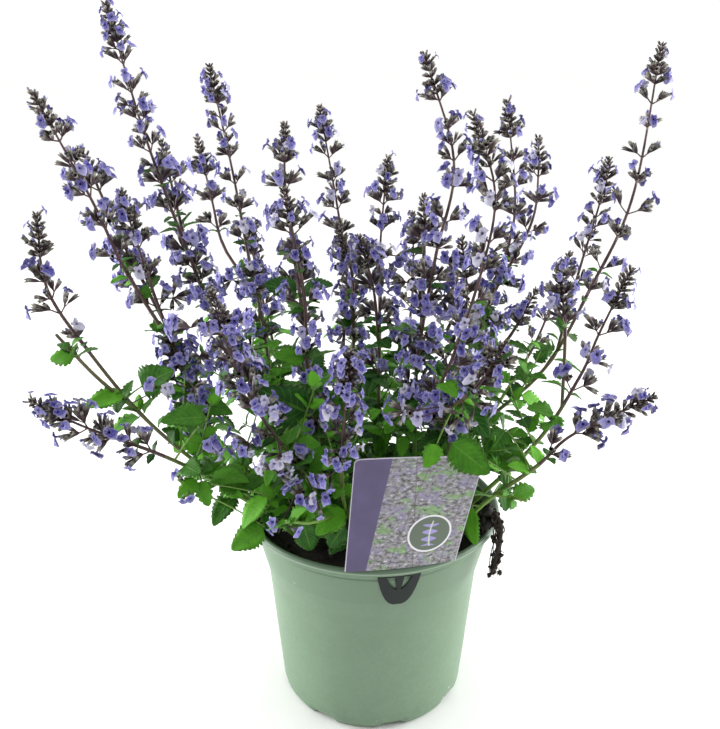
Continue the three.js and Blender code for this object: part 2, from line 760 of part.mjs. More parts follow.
// The root ball fills the pot; its top is uneven, with a plain hole for each stem.
function soilSolid() {
  const roll = dice(SEEDS.soil);
  const points = [];
  const faces = [];
  const edge = 3;
  const walled = [FLOOR_TOP + edge, COLLAR_FOOT_Z, SOIL_TOP - edge];
  const rings = [
    [FLOOR_TOP + GAP, innerRadius(FLOOR_TOP) - 2],
    ...walled.map((z) => [z, innerRadius(z) - SOIL_MARGIN]),
  ];
  for (const [z, r] of rings)
    for (let i = 0; i < SOIL_SIDES; i++) {
      const turn = (i * 2 * Math.PI) / SOIL_SIDES;
      points.push(V(r * Math.cos(turn), r * Math.sin(turn), z));
    }
  for (const share of SOIL_RINGS)
    for (let i = 0; i < SOIL_SIDES; i++) {
      const turn = ((i + 0.5 * roll()) * 2 * Math.PI) / SOIL_SIDES;
      const r = share * (innerRadius(SOIL_TOP) - 1) * (0.96 + 0.08 * roll());
      points.push(V(r * Math.cos(turn), r * Math.sin(turn), SOIL_TOP - 2 + SOIL_ROUGHNESS * roll()));
    }
  const count = rings.length + SOIL_RINGS.length;
  for (let k = 0; k < count - 1; k++)
    for (let i = 0; i < SOIL_SIDES; i++) {
      const a = k * SOIL_SIDES + i;
      const b = k * SOIL_SIDES + ((i + 1) % SOIL_SIDES);
      faces.push([a, b, b + SOIL_SIDES], [a, b + SOIL_SIDES, a + SOIL_SIDES]);
    }
  const bottom = points.push(V(0, 0, FLOOR_TOP + GAP)) - 1;
  const top = points.push(V(0, 0, SOIL_TOP + 1)) - 1;
  const last = (count - 1) * SOIL_SIDES;
  for (let i = 0; i < SOIL_SIDES; i++) {
    const next = (i + 1) % SOIL_SIDES;
    faces.push([bottom, next, i], [top, last + i, last + next]);
  }
  let soil = solid(triangles(points, faces));
  for (const shoot of shoots) {
    if (!shoot.isMain) continue;
    const foot = shoot.points[0];
    const low = V(foot.x, foot.y, STEM_FOOT_Z - 0.5);
    const high = V(foot.x, foot.y, SOIL_TOP + 12);
    const wide = shoot.thick + HOLE_MARGIN;
    soil = soil.subtract(tube([low, high], wide, wide, 4));
  }
  return soil;
}

// ---------------------------------------------------------------- label and root

// A place on the label's side of the pot: distance from the pot's axis, across the sheet, height.
function facing(out, across, z) {
  const turn = LABEL_TURN - Math.PI / 2;
  const [c, s] = [Math.cos(turn), Math.sin(turn)];
  return V(out * c - across * s, out * s + across * c, z);
}

// The sheet stands on the lip, bows a little at its foot, and twists, leans and tilts towards its top.
function labelPoint(across, z, depth) {
  const up = Math.max(0, z - LABEL_FOOT_Z);
  const bow = (LABEL_BOW - LABEL_FLATTENING * up) * across * across;
  const lean = (LABEL_LEAN + LABEL_TWIST * across) * up;
  return facing(LABEL_FOOT_OUT + lean - bow + depth, LABEL_SHIFT + across + LABEL_TILT * up, z);
}

// The collar's outer radius at a height.
function collarRadius(z) {
  const under = POT_HEIGHT - LIP_HEIGHT;
  const slope = (COLLAR_TOP_RADIUS - COLLAR_FOOT_RADIUS) / (under - COLLAR_FOOT_Z);
  return COLLAR_TOP_RADIUS - slope * (under - z);
}

// A closed sheet of columns and rows of points on two sides, split into cells.
function sheet(columns, rows, place) {
  const points = [];
  const faces = [];
  for (const side of [0, 1])
    for (let r = 0; r < rows; r++)
      for (let c = 0; c < columns; c++) points.push(place(c / (columns - 1), r, side));
  const index = (c, r, side) => side * rows * columns + r * columns + c;
  const end = columns - 1;
  const quad = (a, b, c, d) => faces.push([a, b, c], [a, c, d]);
  for (let r = 0; r < rows - 1; r++)
    for (let c = 0; c < columns - 1; c++) {
      quad(index(c, r, 0), index(c + 1, r, 0), index(c + 1, r + 1, 0), index(c, r + 1, 0));
      faces.push([index(c, r, 1), index(c + 1, r + 1, 1), index(c + 1, r, 1)]);
      faces.push([index(c, r, 1), index(c, r + 1, 1), index(c + 1, r + 1, 1)]);
    }
  for (let c = 0; c < columns - 1; c++) {
    quad(index(c, 0, 0), index(c, 0, 1), index(c + 1, 0, 1), index(c + 1, 0, 0));
    quad(index(c, rows - 1, 0), index(c + 1, rows - 1, 0), index(c + 1, rows - 1, 1), index(c, rows - 1, 1));
  }
  for (let r = 0; r < rows - 1; r++) {
    quad(index(0, r, 0), index(0, r + 1, 0), index(0, r + 1, 1), index(0, r, 1));
    quad(index(end, r, 0), index(end, r, 1), index(end, r + 1, 1), index(end, r + 1, 0));
  }
  return solidAnyWay(triangles(points, faces));
}

function labelSolid() {
  const levels = [LABEL_FOOT_Z, 200, LABEL_TOP_Z - LABEL_CORNER, LABEL_TOP_Z];
  const plate = sheet(5, levels.length, (u, row, side) => {
    const share = (levels[row] - LABEL_FOOT_Z) / (LABEL_TOP_Z - LABEL_FOOT_Z);
    const cut = row === levels.length - 1 ? 1.4 * LABEL_CORNER : 0;
    const wide = LABEL_FOOT_WIDTH + (LABEL_TOP_WIDTH - LABEL_FOOT_WIDTH) * share - cut;
    return labelPoint((u - 0.5) * wide, levels[row], side ? -LABEL_SHEET : 0);
  });
  // The strap leaves the back of the sheet, runs down inside the lip and out through the slot, bends
  // down and lies on the collar as a tongue. Its front face comes first here, then its back face.
  const seat = (z) => collarRadius(Math.min(z, SLOT_Z)) + GAP;
  const bend = SLOT_Z - 7;
  const tip = SLOT_Z - TONGUE_LENGTH;
  const faces = [
    [
      [LABEL_FOOT_OUT - 0.3, LABEL_FOOT_Z + 1.8],
      [STRAP_OUT + LABEL_SHEET, SLOT_Z + 3.8],
      [STRAP_OUT + LABEL_SHEET, SLOT_Z + LABEL_SHEET],
      [seat(SLOT_Z) + LABEL_SHEET, SLOT_Z + LABEL_SHEET],
      [seat(bend) + LABEL_SHEET, bend],
      [seat(tip) + LABEL_SHEET, tip],
    ],
    [
      [LABEL_FOOT_OUT - 0.6, LABEL_FOOT_Z + 2.7],
      [STRAP_OUT, SLOT_Z + 4.3],
      [STRAP_OUT, SLOT_Z],
      [seat(SLOT_Z), SLOT_Z],
      [seat(bend), bend],
      [seat(tip), tip],
    ],
  ];
  const strap = sheet(4, faces[0].length, (u, row, side) => {
    const isTip = row === faces[0].length - 1;
    const across = (u - 0.5) * TONGUE_WIDTH * (isTip ? TONGUE_TAPER : 1);
    const [out, z] = faces[side][row];
    const bow = (row ? TONGUE_BOW : LABEL_BOW) * across * across;
    return facing(out - bow, across, z + (isTip ? 0.02 * across * across : 0));
  });
  return plate.add(strap);
}

const ROOT_ROUTE = [
  [68, -37, 149],
  [77, -42, 155.5],
  [79, -44, 168],
  [85, -47, 170],
  [88.5, -49, 159],
  [88.5, -49.5, 147],
  [87, -50, 135],
  [85.5, -50.5, 124],
];
const CLOD = 6.5;

// The dry root comes out of the soil, holds up a clod of peat, and hangs down over the lip.
function rootSolid() {
  const roll = dice(SEEDS.root);
  const points = ROOT_ROUTE.map(([x, y, z]) => V(x, y, z));
  let root = tube(points, ROOT_THICK, ROOT_THIN, 4);
  const lumps = [
    [2, CLOD, 1.5],
    [6, ROOT_THICK, 1.6],
  ];
  for (const [i, size, tall] of lumps) {
    const lump = new THREE.IcosahedronGeometry(size, 0).rotateZ(roll() * 3).scale(1, 0.9, tall);
    root = root.add(solid(lump.translate(points[i].x, points[i].y, points[i].z)));
  }
  return root;
}

// ---------------------------------------------------------------- assembly

const plant = new THREE.Group();
plant.name = "catmint_in_pot";

// Leaves and florets keep off the label and the dry root.
const labelRoom = 6.5;
const rootRoom = 7.5;
for (const across of [-34, -20, -7, 7, 20, 34]) {
  const low = labelPoint(across, 150, 0);
  const high = labelPoint(across * 1.08, LABEL_TOP_Z - 3, 0);
  take([rodOf(low, high, labelRoom)], "label");
}
for (let i = 1; i < ROOT_ROUTE.length; i++) {
  take([rodOf(V(...ROOT_ROUTE[i - 1]), V(...ROOT_ROUTE[i]), rootRoom)], "root");
}

plant.add(meshOf("pot", potSolid(), 0xa3bfa5, 0.55));
plant.add(meshOf("soil", soilSolid(), 0x2b211b, 0.95));
plant.add(meshOf("label", labelSolid(), 0x6d6090, 0.4));
plant.add(meshOf("root_strand", rootSolid(), 0x45352a, 0.95));

const twoDigits = (n) => String(n).padStart(2, "0");
const spikes = [];
shoots.forEach((shoot, i) => {
  if (!shoot.bloom) return;
  const name = "spike_" + twoDigits(spikes.length + 1);
  spikes.push(meshOf(name, spike(shoot, i + 1), 0x7d70bd, 0.7));
});
STEMS.forEach((_, i) => {
  const bodies = shoots.flatMap((shoot, j) => (shoot.stemIndex === i ? [leafyShoot(shoot, j + 1)] : []));
  const joined = bodies.reduce((sum, body) => sum.add(body));
  plant.add(meshOf("stem_" + twoDigits(i + 1), joined, 0x4f7f38, 0.75));
});
plant.add(...spikes);

export default plant;
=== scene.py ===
# %% [markdown]
# # A catmint in its nursery pot
# The plant is built the way it grows: square stems rise from the soil, carry crossed pairs of toothed
# leaves, and end in spikes of violet florets that sit in whorls. The pot, the soil, the printed label and a
# dry root over the rim complete it. The solid model is loaded first. It holds each piece's true size and
# place, and every piece made here stands for one of its nodes.

# %% Load the fixed frame
import math
import bpy
import numpy as np
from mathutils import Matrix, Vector


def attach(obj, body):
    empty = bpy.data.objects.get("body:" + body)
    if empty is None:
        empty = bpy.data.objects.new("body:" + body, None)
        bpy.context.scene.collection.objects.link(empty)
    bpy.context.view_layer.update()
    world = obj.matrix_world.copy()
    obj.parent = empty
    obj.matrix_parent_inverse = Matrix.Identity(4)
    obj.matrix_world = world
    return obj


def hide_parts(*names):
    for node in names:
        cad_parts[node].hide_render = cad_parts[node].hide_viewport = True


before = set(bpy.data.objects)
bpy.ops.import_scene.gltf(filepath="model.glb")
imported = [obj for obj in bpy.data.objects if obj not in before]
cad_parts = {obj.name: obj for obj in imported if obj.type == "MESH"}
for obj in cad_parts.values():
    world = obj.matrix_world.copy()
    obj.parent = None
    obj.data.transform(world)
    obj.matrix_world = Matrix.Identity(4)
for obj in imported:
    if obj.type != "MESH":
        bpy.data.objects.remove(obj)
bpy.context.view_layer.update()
MM = 0.001
FULL_TURN = 2 * math.pi

# %% [markdown]
# ## The camera
# The camera looks at the pot from the front and from a little above, as a person does who stands before a
# bench. Its place is a real one in millimetres, and the long side of the sensor sets the field of view.

# %% Place the camera
CAMERA_PLACE = (-9.5, -601.4, 492.4)
CAMERA_PITCH = math.radians(20.7)
SENSOR_WIDTH = 36
FOCAL_LENGTH = 45


def set_out(name, data):
    """Puts an object with the given data into the scene."""
    made = bpy.data.objects.new(name, data)
    bpy.context.scene.collection.objects.link(made)
    return made


camera = set_out("camera", bpy.data.cameras.new("camera"))
camera.data.sensor_fit = "HORIZONTAL"
camera.data.sensor_width = SENSOR_WIDTH
camera.data.lens = FOCAL_LENGTH
camera.data.clip_start = 0.01
camera.location = Vector(CAMERA_PLACE) * MM
camera.rotation_euler = (math.pi / 2 - CAMERA_PITCH, 0, 0)
bpy.context.scene.camera = camera

# %% [markdown]
# ## Shader maths as sums
# A material's pattern is arithmetic on values that change over the surface. Blender does that arithmetic with
# Math nodes. Wrapping a node's output in a small class lets the same sums be written as plain expressions,
# so that `1 - mask` adds the node by itself.

# %% A socket that can be added, multiplied and compared
def sums(operation, is_last=False):
    """A method that adds the Math node of an operation; is_last sets the value behind the other number."""
    def method(value, *others):
        numbers = (*others, value) if is_last else (value, *others)
        return value.nodes.node("Math", {"operation": operation}, dict(enumerate(numbers)))

    return method


class Value:
    """One output of a node, on which an expression adds nodes."""

    __add__ = __radd__ = sums("ADD")
    __sub__ = sums("SUBTRACT")
    __rsub__ = sums("SUBTRACT", is_last=True)
    __mul__ = __rmul__ = sums("MULTIPLY")
    __abs__ = sums("ABSOLUTE")
    __lt__ = sums("LESS_THAN")
    ping_pong = sums("PINGPONG")
    maximum = sums("MAXIMUM")
    square_root = sums("SQRT")
    sine = sums("SINE")

    def __init__(self, nodes, output):
        self.nodes = nodes
        self.output = output

    def ramp(self, low, high):
        """The value's climb from 0 at low to 1 at high, smoothed at both ends."""
        settings = {"interpolation_type": "SMOOTHSTEP"}
        return self.nodes.node("MapRange", settings, {"Value": self, "From Min": low, "From Max": high})


def shader_tone(tone):
    """A screen colour of 0 to 255 as the linear colour that a shader takes; a value stays as it is."""
    if isinstance(tone, Value):
        return tone
    shares = [level / 255 for level in tone]
    return (*[c / 12.92 if c <= 0.04045 else ((c + 0.055) / 1.055) ** 2.4 for c in shares], 1.0)


# %% Nodes of a material or of the sky
class Nodes:
    """A node tree to which nodes are added one by one."""

    def __init__(self, tree, shader):
        self.tree = tree
        self.shader = tree.nodes[shader]

    def feed(self, socket, value):
        if isinstance(value, Value):
            self.tree.links.new(value.output, socket)
        else:
            socket.default_value = value

    def wear(self, socket, value):
        self.feed(self.shader.inputs[socket], value)

    def node(self, kind, settings=None, sockets=None, output=0):
        made = self.tree.nodes.new("ShaderNode" + kind)
        for name, setting in (settings or {}).items():
            setattr(made, name, setting)
        for name, value in (sockets or {}).items():
            self.feed(made.inputs[name], value)
        return Value(self, made.outputs[output])

    def layers(self, tone, *coats):
        """A tone under further ones; each coat is a share and the tone that it lays on."""
        for share, coat in coats:
            sockets = {0: share, 6: shader_tone(tone), 7: shader_tone(coat)}
            tone = self.node("Mix", {"data_type": "RGBA"}, sockets, output=2)
        return tone


class Finish(Nodes):
    """A material with one Principled shader, whose patterns are added as nodes."""

    def __init__(self, name, shine=0.5):
        self.material = bpy.data.materials.new(name)
        self.material.use_nodes = True
        super().__init__(self.material.node_tree, "Principled BSDF")
        self.wear("Specular IOR Level", shine)

    def painted(self, name):
        """A value that the mesh carries at its points."""
        return self.node("Attribute", {"attribute_name": name}, output=2)

    def noise(self, scale, detail=3.0, vector=None, roughness=0.55):
        vector = vector or self.node("TexCoord", output=3)
        sockets = {"Scale": scale, "Detail": detail, "Roughness": roughness, "Vector": vector}
        return self.node("TexNoise", sockets=sockets)

    def stretch(self, vector, factors):
        return self.node("VectorMath", {"operation": "MULTIPLY"}, {0: vector, 1: factors})

    def coat(self, tone, roughness, relief, deep, strength):
        """Sets the shader's colour and roughness, and a relief of the given depth in metres."""
        self.wear("Base Color", tone)
        self.wear("Roughness", roughness)
        sockets = {"Height": relief, "Distance": deep, "Strength": strength}
        self.wear("Normal", self.node("Bump", sockets=sockets))


# %% [markdown]
# ## The studio
# A pale floor and a pale sky give the even light in which every part of the plant can be seen. The sky is
# dimmer on the side of the viewer, low down, as the dark end of a studio is. Two large panels stand at the
# sides, a little behind the plant. They brighten the pot's edges and leave its middle calmer, and they catch
# the edges of leaves and petals.

# %% Floor, sky and two panels of light
FLOOR_HALF = 12000
SKY_LIGHT = 1.15
FRONT_DIMMING = 0.92
PANEL_SIZE = 900
PANEL_AIM = (0, 0, 220)

floor_mesh = bpy.data.meshes.new("floor")
floor_signs = ((-1, -1), (1, -1), (1, 1), (-1, 1))
floor_corners = [(x * FLOOR_HALF * MM, y * FLOOR_HALF * MM, 0) for x, y in floor_signs]
floor_mesh.from_pydata(floor_corners, [], [(0, 1, 2, 3)])
floor = set_out("floor", floor_mesh)

floor_paint = Finish("floor_paint", shine=0.2)
floor_tone = floor_paint.noise(40.0).ramp(0.3, 0.7)
floor_paint.wear("Base Color", floor_paint.layers((252, 252, 251), (floor_tone, (254, 254, 253))))
floor_paint.wear("Roughness", 0.9)
floor_mesh.materials.append(floor_paint.material)

sky = bpy.data.worlds.new("pale_sky")
sky.use_nodes = True
sky_nodes = Nodes(sky.node_tree, "Background")
direction = sky_nodes.node("TexCoord")
towards_back = sky_nodes.node("SeparateXYZ", sockets={0: direction}, output=1)
towards_top = sky_nodes.node("SeparateXYZ", sockets={0: direction}, output=2)
front = (0 - towards_back).ramp(0.0, 0.8) * (1 - towards_top.ramp(0.35, 0.9))
sky_nodes.wear("Color", (1, 1, 1, 1))
sky_nodes.wear("Strength", SKY_LIGHT - front * FRONT_DIMMING)
bpy.context.scene.world = sky
bpy.context.scene.view_settings.view_transform = "Standard"

for name, out, watts in (("left_panel", -1350, 24), ("right_panel", 1350, 23)):
    lamp = set_out(name, bpy.data.lights.new(name, "AREA"))
    lamp.data.size = PANEL_SIZE * MM
    lamp.data.energy = watts
    lamp.location = Vector((out, 250, 400)) * MM
    aim = Vector(PANEL_AIM) * MM - lamp.location
    lamp.rotation_euler = aim.to_track_quat("-Z", "Y").to_euler()

# %% [markdown]
# ## Where every shoot grows
# A stem's course is a handful of places that it passes, in millimetres, and a smooth curve through them. Each
# row holds the number of a stem, the length of the shoot's flowering top, the length of its largest leaves,
# and then those places. A stem's first row is its main shoot. The solid model follows the same list, so the
# fine stems lie in the same room.

# %% The shoots of the 21 stems
STEM_THICK = (
    1.8, 1.8, 1.8, 1.7, 1.7, 1.7, 2, 2, 1.7, 1.8, 1.7,
    1.7, 1.6, 1.6, 1.8, 1.6, 1.6, 1.6, 1.7, 1.7, 1.7,
)
SHOOTS = [
    (1, 150, 30, (-30, 10, 0), (-80, 15, 230), (-110, 15, 285), (-130, 20, 340), (-155, 25, 420),
     (-175, 30, 505)),
    (1, 60, 18, (-135, 20, 345), (-140, 35, 375), (-150, 50, 415)),
    (2, 90, 32, (-50, -10, 0), (-100, -15, 175), (-125, -20, 240), (-135, -25, 285), (-145, -30, 325),
     (-160, -35, 395)),
    (2, 120, 20, (-135, -25, 285), (-160, -40, 345), (-175, -45, 390), (-200, -55, 455)),
    (2, 60, 16, (-140, -30, 320), (-165, -5, 345), (-180, 5, 375), (-195, 10, 415)),
    (3, 140, 30, (-20, 30, 0), (-70, 45, 200), (-85, 60, 280), (-95, 70, 330), (-105, 80, 390),
     (-120, 90, 465)),
    (3, 80, 18, (-90, 65, 300), (-115, 85, 330), (-125, 100, 365), (-135, 110, 410)),
    (4, 60, 28, (-10, -20, 0), (-25, -25, 185), (-40, -35, 235), (-45, -45, 290), (-45, -50, 330),
     (-55, -60, 400)),
    (4, 75, 16, (-45, -45, 305), (-55, 0, 350), (-60, 10, 390), (-60, 20, 430)),
    (5, 130, 28, (0, 40, 0), (-15, 60, 210), (-15, 70, 275), (-25, 85, 350), (-40, 100, 435)),
    (5, 75, 18, (-15, 70, 260), (-15, 50, 315), (-25, 40, 355)),
    (6, 125, 28, (10, 10, 0), (5, 20, 215), (5, 25, 275), (5, 35, 340), (10, 40, 405)),
    (6, 75, 18, (5, 25, 265), (0, 0, 320), (-10, -10, 360)),
    (7, 180, 30, (30, -10, 0), (30, -15, 210), (30, -20, 275), (40, -25, 350), (50, -25, 410),
     (30, -20, 475)),
    (7, 40, 14, (40, -25, 330), (35, 10, 350), (35, 25, 380)),
    (8, 170, 30, (40, -35, 0), (50, -60, 230), (40, -65, 265), (50, -70, 300), (65, -70, 355), (70, -70, 400),
     (55, -70, 445)),
    (8, 50, 16, (45, -65, 255), (60, -95, 285), (75, -110, 320)),
    (9, 120, 28, (40, 25, 0), (65, 50, 200), (85, 70, 270), (100, 80, 315), (110, 90, 360), (100, 95, 440)),
    (9, 85, 18, (95, 75, 290), (125, 100, 345), (130, 110, 385), (130, 120, 410)),
    (10, 185, 30, (50, 5, 0), (75, 10, 205), (125, 15, 255), (155, 20, 315), (180, 25, 380), (190, 30, 480)),
    (10, 105, 18, (135, 15, 270), (155, 55, 320), (170, 70, 370), (175, 75, 400)),
    (11, 100, 28, (55, -20, 0), (110, -40, 220), (135, -50, 275), (145, -50, 305), (160, -55, 350)),
    (11, 45, 16, (130, -45, 265), (130, -20, 300), (125, -10, 335)),
    (12, 95, 28, (-55, -30, 0), (-105, -45, 195), (-150, -55, 245), (-185, -60, 300), (-205, -60, 340),
     (-205, -60, 385)),
    (12, 0, 20, (-155, -55, 255), (-175, -75, 285), (-190, -95, 320)),
    (13, 90, 28, (-45, -45, 0), (-100, -70, 205), (-135, -85, 235), (-180, -95, 260), (-210, -100, 280)),
    (14, 85, 30, (55, -40, 0), (75, -65, 190), (105, -80, 225), (125, -85, 250), (170, -95, 280)),
    (14, 0, 24, (80, -70, 200), (105, -100, 210), (120, -115, 225)),
    (15, 120, 32, (-25, -40, 0), (-40, -65, 200), (-70, -85, 260), (-85, -100, 305), (-95, -105, 350)),
    (16, 85, 30, (-5, -50, 0), (-20, -75, 195), (-20, -95, 250), (-15, -110, 315)),
    (16, 0, 24, (-15, -70, 190), (-40, -100, 195), (-55, -115, 205)),
    (17, 90, 26, (35, 10, 0), (50, 0, 220), (60, 0, 275), (65, 0, 315), (60, 5, 355)),
    (17, 40, 18, (55, 0, 260), (95, 25, 270), (120, 35, 310)),
    (18, 0, 30, (-60, 10, 0), (-90, -10, 185), (-120, -50, 190), (-130, -70, 210)),
    (18, 0, 24, (-90, -10, 180), (-120, 15, 205), (-140, 35, 240)),
    (19, 85, 30, (-35, 45, 0), (-70, 95, 205), (-90, 125, 270), (-105, 145, 340)),
    (19, 0, 22, (-70, 100, 210), (-105, 90, 235), (-125, 90, 270)),
    (20, 90, 30, (20, 50, 0), (25, 105, 210), (35, 135, 275), (35, 150, 345)),
    (20, 0, 24, (25, 100, 200), (0, 120, 220), (-20, 145, 255)),
    (21, 90, 30, (55, 30, 0), (100, 70, 200), (135, 95, 250), (160, 110, 320)),
    (21, 0, 24, (100, 75, 205), (95, 110, 230), (90, 135, 270)),
]

# %% [markdown]
# ## Chance that can be repeated
# A plant is never regular, yet the script has to give the same plant each time. A small generator with a
# seed for each shoot draws the numbers for its layout, the same ones that the solid model drew. The finer
# details use numpy's generator with a seed of their own.

# %% Dice with a seed
DICE_FACES = 2147483647


def dice(seed):
    state = (seed * 7919 + 12345) % DICE_FACES

    def roll():
        nonlocal state
        state = (state * 16807) % DICE_FACES
        return state / DICE_FACES

    roll()
    roll()
    return roll


# %% [markdown]
# ## Curves
# The layout works on a shoot as a chain of straight stretches with few points, and the fine stem as a curve
# with many. Both come from one smooth curve through the shoot's places, a Catmull-Rom curve: each point
# of it is a blend of the four places around it.

# %% Points along a route, and places at a distance
UP = np.array((0.0, 0.0, 1.0))


def unit(vector):
    return vector / np.linalg.norm(vector)


def sampled(route, cuts):
    """Points of the smooth curve through a route, with a number of cuts between two of its places."""
    ends = np.vstack([2 * route[0] - route[1], route, 2 * route[-1] - route[-2]])
    pieces = len(route) - 1
    points = []
    for i in range(pieces * cuts + 1):
        piece = min(i // cuts, pieces - 1)
        t = i / cuts - piece
        before, start, end, after = ends[piece:piece + 4]
        pull_in = (end - before) / 2
        pull_out = (after - start) / 2
        square = 3 * (end - start) - 2 * pull_in - pull_out
        cube = 2 * (start - end) + pull_in + pull_out
        points.append(start + t * (pull_in + t * (square + t * cube)))
    return np.array(points)


def lengths(points):
    steps = np.linalg.norm(np.diff(points, axis=0), axis=1)
    return np.concatenate([[0.0], np.cumsum(steps)])


def at(points, s):
    """Place and direction at a distance along a chain of points."""
    run = lengths(points)
    i = 1
    while i < len(points) - 1 and run[i] < s:
        i += 1
    share = (s - run[i - 1]) / (run[i] - run[i - 1])
    step = points[i] - points[i - 1]
    return points[i - 1] + step * share, unit(step)


def nearest_on(points, place):
    """The point of a chain that lies nearest to a place."""
    start = points[:-1]
    step = points[1:] - start
    share = np.clip(((place - start) * step).sum(1) / (step * step).sum(1), 0, 1)
    feet = start + step * share[:, None]
    return feet[np.argmin(np.linalg.norm(feet - place, axis=1))]


def eased(points, least_bend=0.11, longest=90):
    """Leaves out the points where a chain runs almost straight on."""
    kept = [points[0]]
    for here, following in zip(points[1:-1], points[2:]):
        before = here - kept[-1]
        bend = math.acos(min(1.0, float(unit(before) @ unit(following - here))))
        if bend > least_bend or np.linalg.norm(before) > longest:
            kept.append(here)
    return np.array([*kept, points[-1]])


def stretch(points, start, end, near_end=2):
    """The part of a chain between two distances."""
    run = lengths(points)
    inner = points[(run > start + near_end) & (run < end - near_end)]
    return np.vstack([at(points, start)[0], inner, at(points, end)[0]])


def sideways(along, angle):
    """A direction square to a stem, turned about it."""
    first = unit(np.cross((0.0, 1.0, 0.0), along))
    second = np.cross(along, first)
    return first * math.cos(angle) + second * math.sin(angle)


# %% [markdown]
# ## Two courses for each shoot
# Each shoot gets its plain chain, which the layout measures along, and its fine curve, which is drawn. A main
# stem stands upright in its hole in the soil. A side shoot starts in the stem that it branches off.

# %% Lay out the shoots
POT_HEIGHT = 155
SOIL_TOP = 142
STEM_FOOT_Z = 131
GAP = 0.35
SIDE_STEM = 1.25
FINE_CUTS = 10

shoots = []
for number, (stem_number, bloom, leafy, *places) in enumerate(SHOOTS, start=1):
    earlier = [other for other in shoots if other["stem"] == stem_number]
    route = np.array(places, float)
    fine_route = route.copy()
    if earlier:
        main = earlier[0]
        route[0] = nearest_on(stretch(main["points"], 0, main["bare"] - 4), route[0])
        points = eased(sampled(route, 2))
        fine_route[0] = nearest_on(main["fine"], route[0])
        fine = sampled(fine_route, FINE_CUTS)
    else:
        route[0, 2] = SOIL_TOP + 4
        foot = [(*route[0, :2], STEM_FOOT_Z)]
        points = np.vstack([foot, eased(sampled(route, 2))])
        fine = np.vstack([foot, sampled(route, FINE_CUTS)])
    total = lengths(points)[-1]
    bare = total - bloom
    shoots.append({
        "number": number,
        "stem": stem_number,
        "side": len(earlier),
        "owner": ("stem", stem_number),
        "bloom": bloom,
        "leafy": leafy,
        "points": points,
        "fine": fine,
        "bare": bare,
        "green": stretch(points, 0, bare) if bloom else points,
        "rachis": stretch(points, bare + GAP, total) if bloom else None,
        "thick": SIDE_STEM if earlier else STEM_THICK[stem_number - 1],
        "stretching": lengths(fine)[-1] / total,
    })
flowering = [grown for grown in shoots if grown["bloom"]]
print(len(STEM_THICK), "stems,", len(shoots), "shoots,", len(flowering), "in flower")

# %% [markdown]
# ## Room between the pieces
# Leaves and florets of neighbouring stems mustn't grow through each other. Each one claims its room as a few
# rods with a radius, and a new one is only set where its rods keep clear of all the others. The claims are
# kept in plain arrays, so that one test against thousands of rods is a single sweep of numpy.

# %% The claimed rods
MOST_RODS = 20000
LIP_RADIUS = 95
COLLAR_TOP_RADIUS = 90.5


def rod(start, end, radius, blade=False, root=False):
    return np.asarray(start, float), np.asarray(end, float), radius, blade, root


class Room:
    """Rods that are taken, each with its owner."""

    def __init__(self):
        self.ends = np.zeros((MOST_RODS, 2, 3))
        self.radius = np.zeros(MOST_RODS)
        self.owner = np.zeros(MOST_RODS, int)
        self.blade = np.zeros(MOST_RODS, bool)
        self.count = 0
        self.names = {}

    def take(self, rods, owner):
        number = self.names.setdefault(owner, len(self.names))
        for start, end, radius, blade, _ in rods:
            self.ends[self.count] = start, end
            self.radius[self.count] = radius
            self.owner[self.count] = number
            self.blade[self.count] = blade
            self.count += 1

    def take_line(self, points, radius, owner):
        self.take([rod(a, b, radius) for a, b in zip(points[:-1], points[1:])], owner)

    def distances(self, a, b):
        """From one segment to every taken rod."""
        start, end = self.ends[:self.count, 0], self.ends[:self.count, 1]
        own, other, between = b - a, end - start, a - start
        uu = own @ own
        vv = np.maximum((other * other).sum(1), 1e-12)
        uv, uw, vw = other @ own, between @ own, (other * between).sum(1)
        bottom = uu * vv - uv * uv
        safe = np.where(bottom > 1e-9, bottom, 1.0)
        s = np.where(bottom > 1e-9, np.clip((uv * vw - vv * uw) / safe, 0, 1), 0)
        t = np.clip((uv * s + vw) / vv, 0, 1)
        s = np.clip((uv * t - uw) / uu, 0, 1)
        return np.linalg.norm(between + own * s[:, None] - other * t[:, None], axis=1)

    def is_clear(self, rods, owner, own_share=0.4):
        radius = self.radius[:self.count]
        blade = self.blade[:self.count]
        own = self.owner[:self.count] == self.names.get(owner, -1)
        for start, end, thick, is_blade, is_root in rods:
            if is_in_pot(start, thick) or is_in_pot(end, thick):
                return False
            tested = ~own if not is_blade else ~own | blade if is_root else np.full(self.count, True)
            own_reach = own_share * thick + np.where(blade, own_share, 1) * radius
            reach = np.where(own, own_reach, thick + radius + GAP)
            if np.any(tested & (self.distances(start, end) < reach)):
                return False
        return True


def is_in_pot(point, thick):
    """Whether a ball meets the pot's rim, lies beside its wall, or lies on the soil."""
    out = math.hypot(point[0], point[1])
    over_rim = COLLAR_TOP_RADIUS - 4 - thick < out < LIP_RADIUS + 1 + thick
    if over_rim and point[2] < POT_HEIGHT + 1 + thick:
        return True
    if out >= LIP_RADIUS and point[2] < POT_HEIGHT:
        return True
    return point[2] < SOIL_TOP + 6


# %% [markdown]
# ## The label's and the root's places
# The sheet of the label stands on the lip with a slight bow, and twists and leans out as it rises. The dry
# root comes out of the soil and hangs over the lip. Both are needed now, as the leaves keep off them.

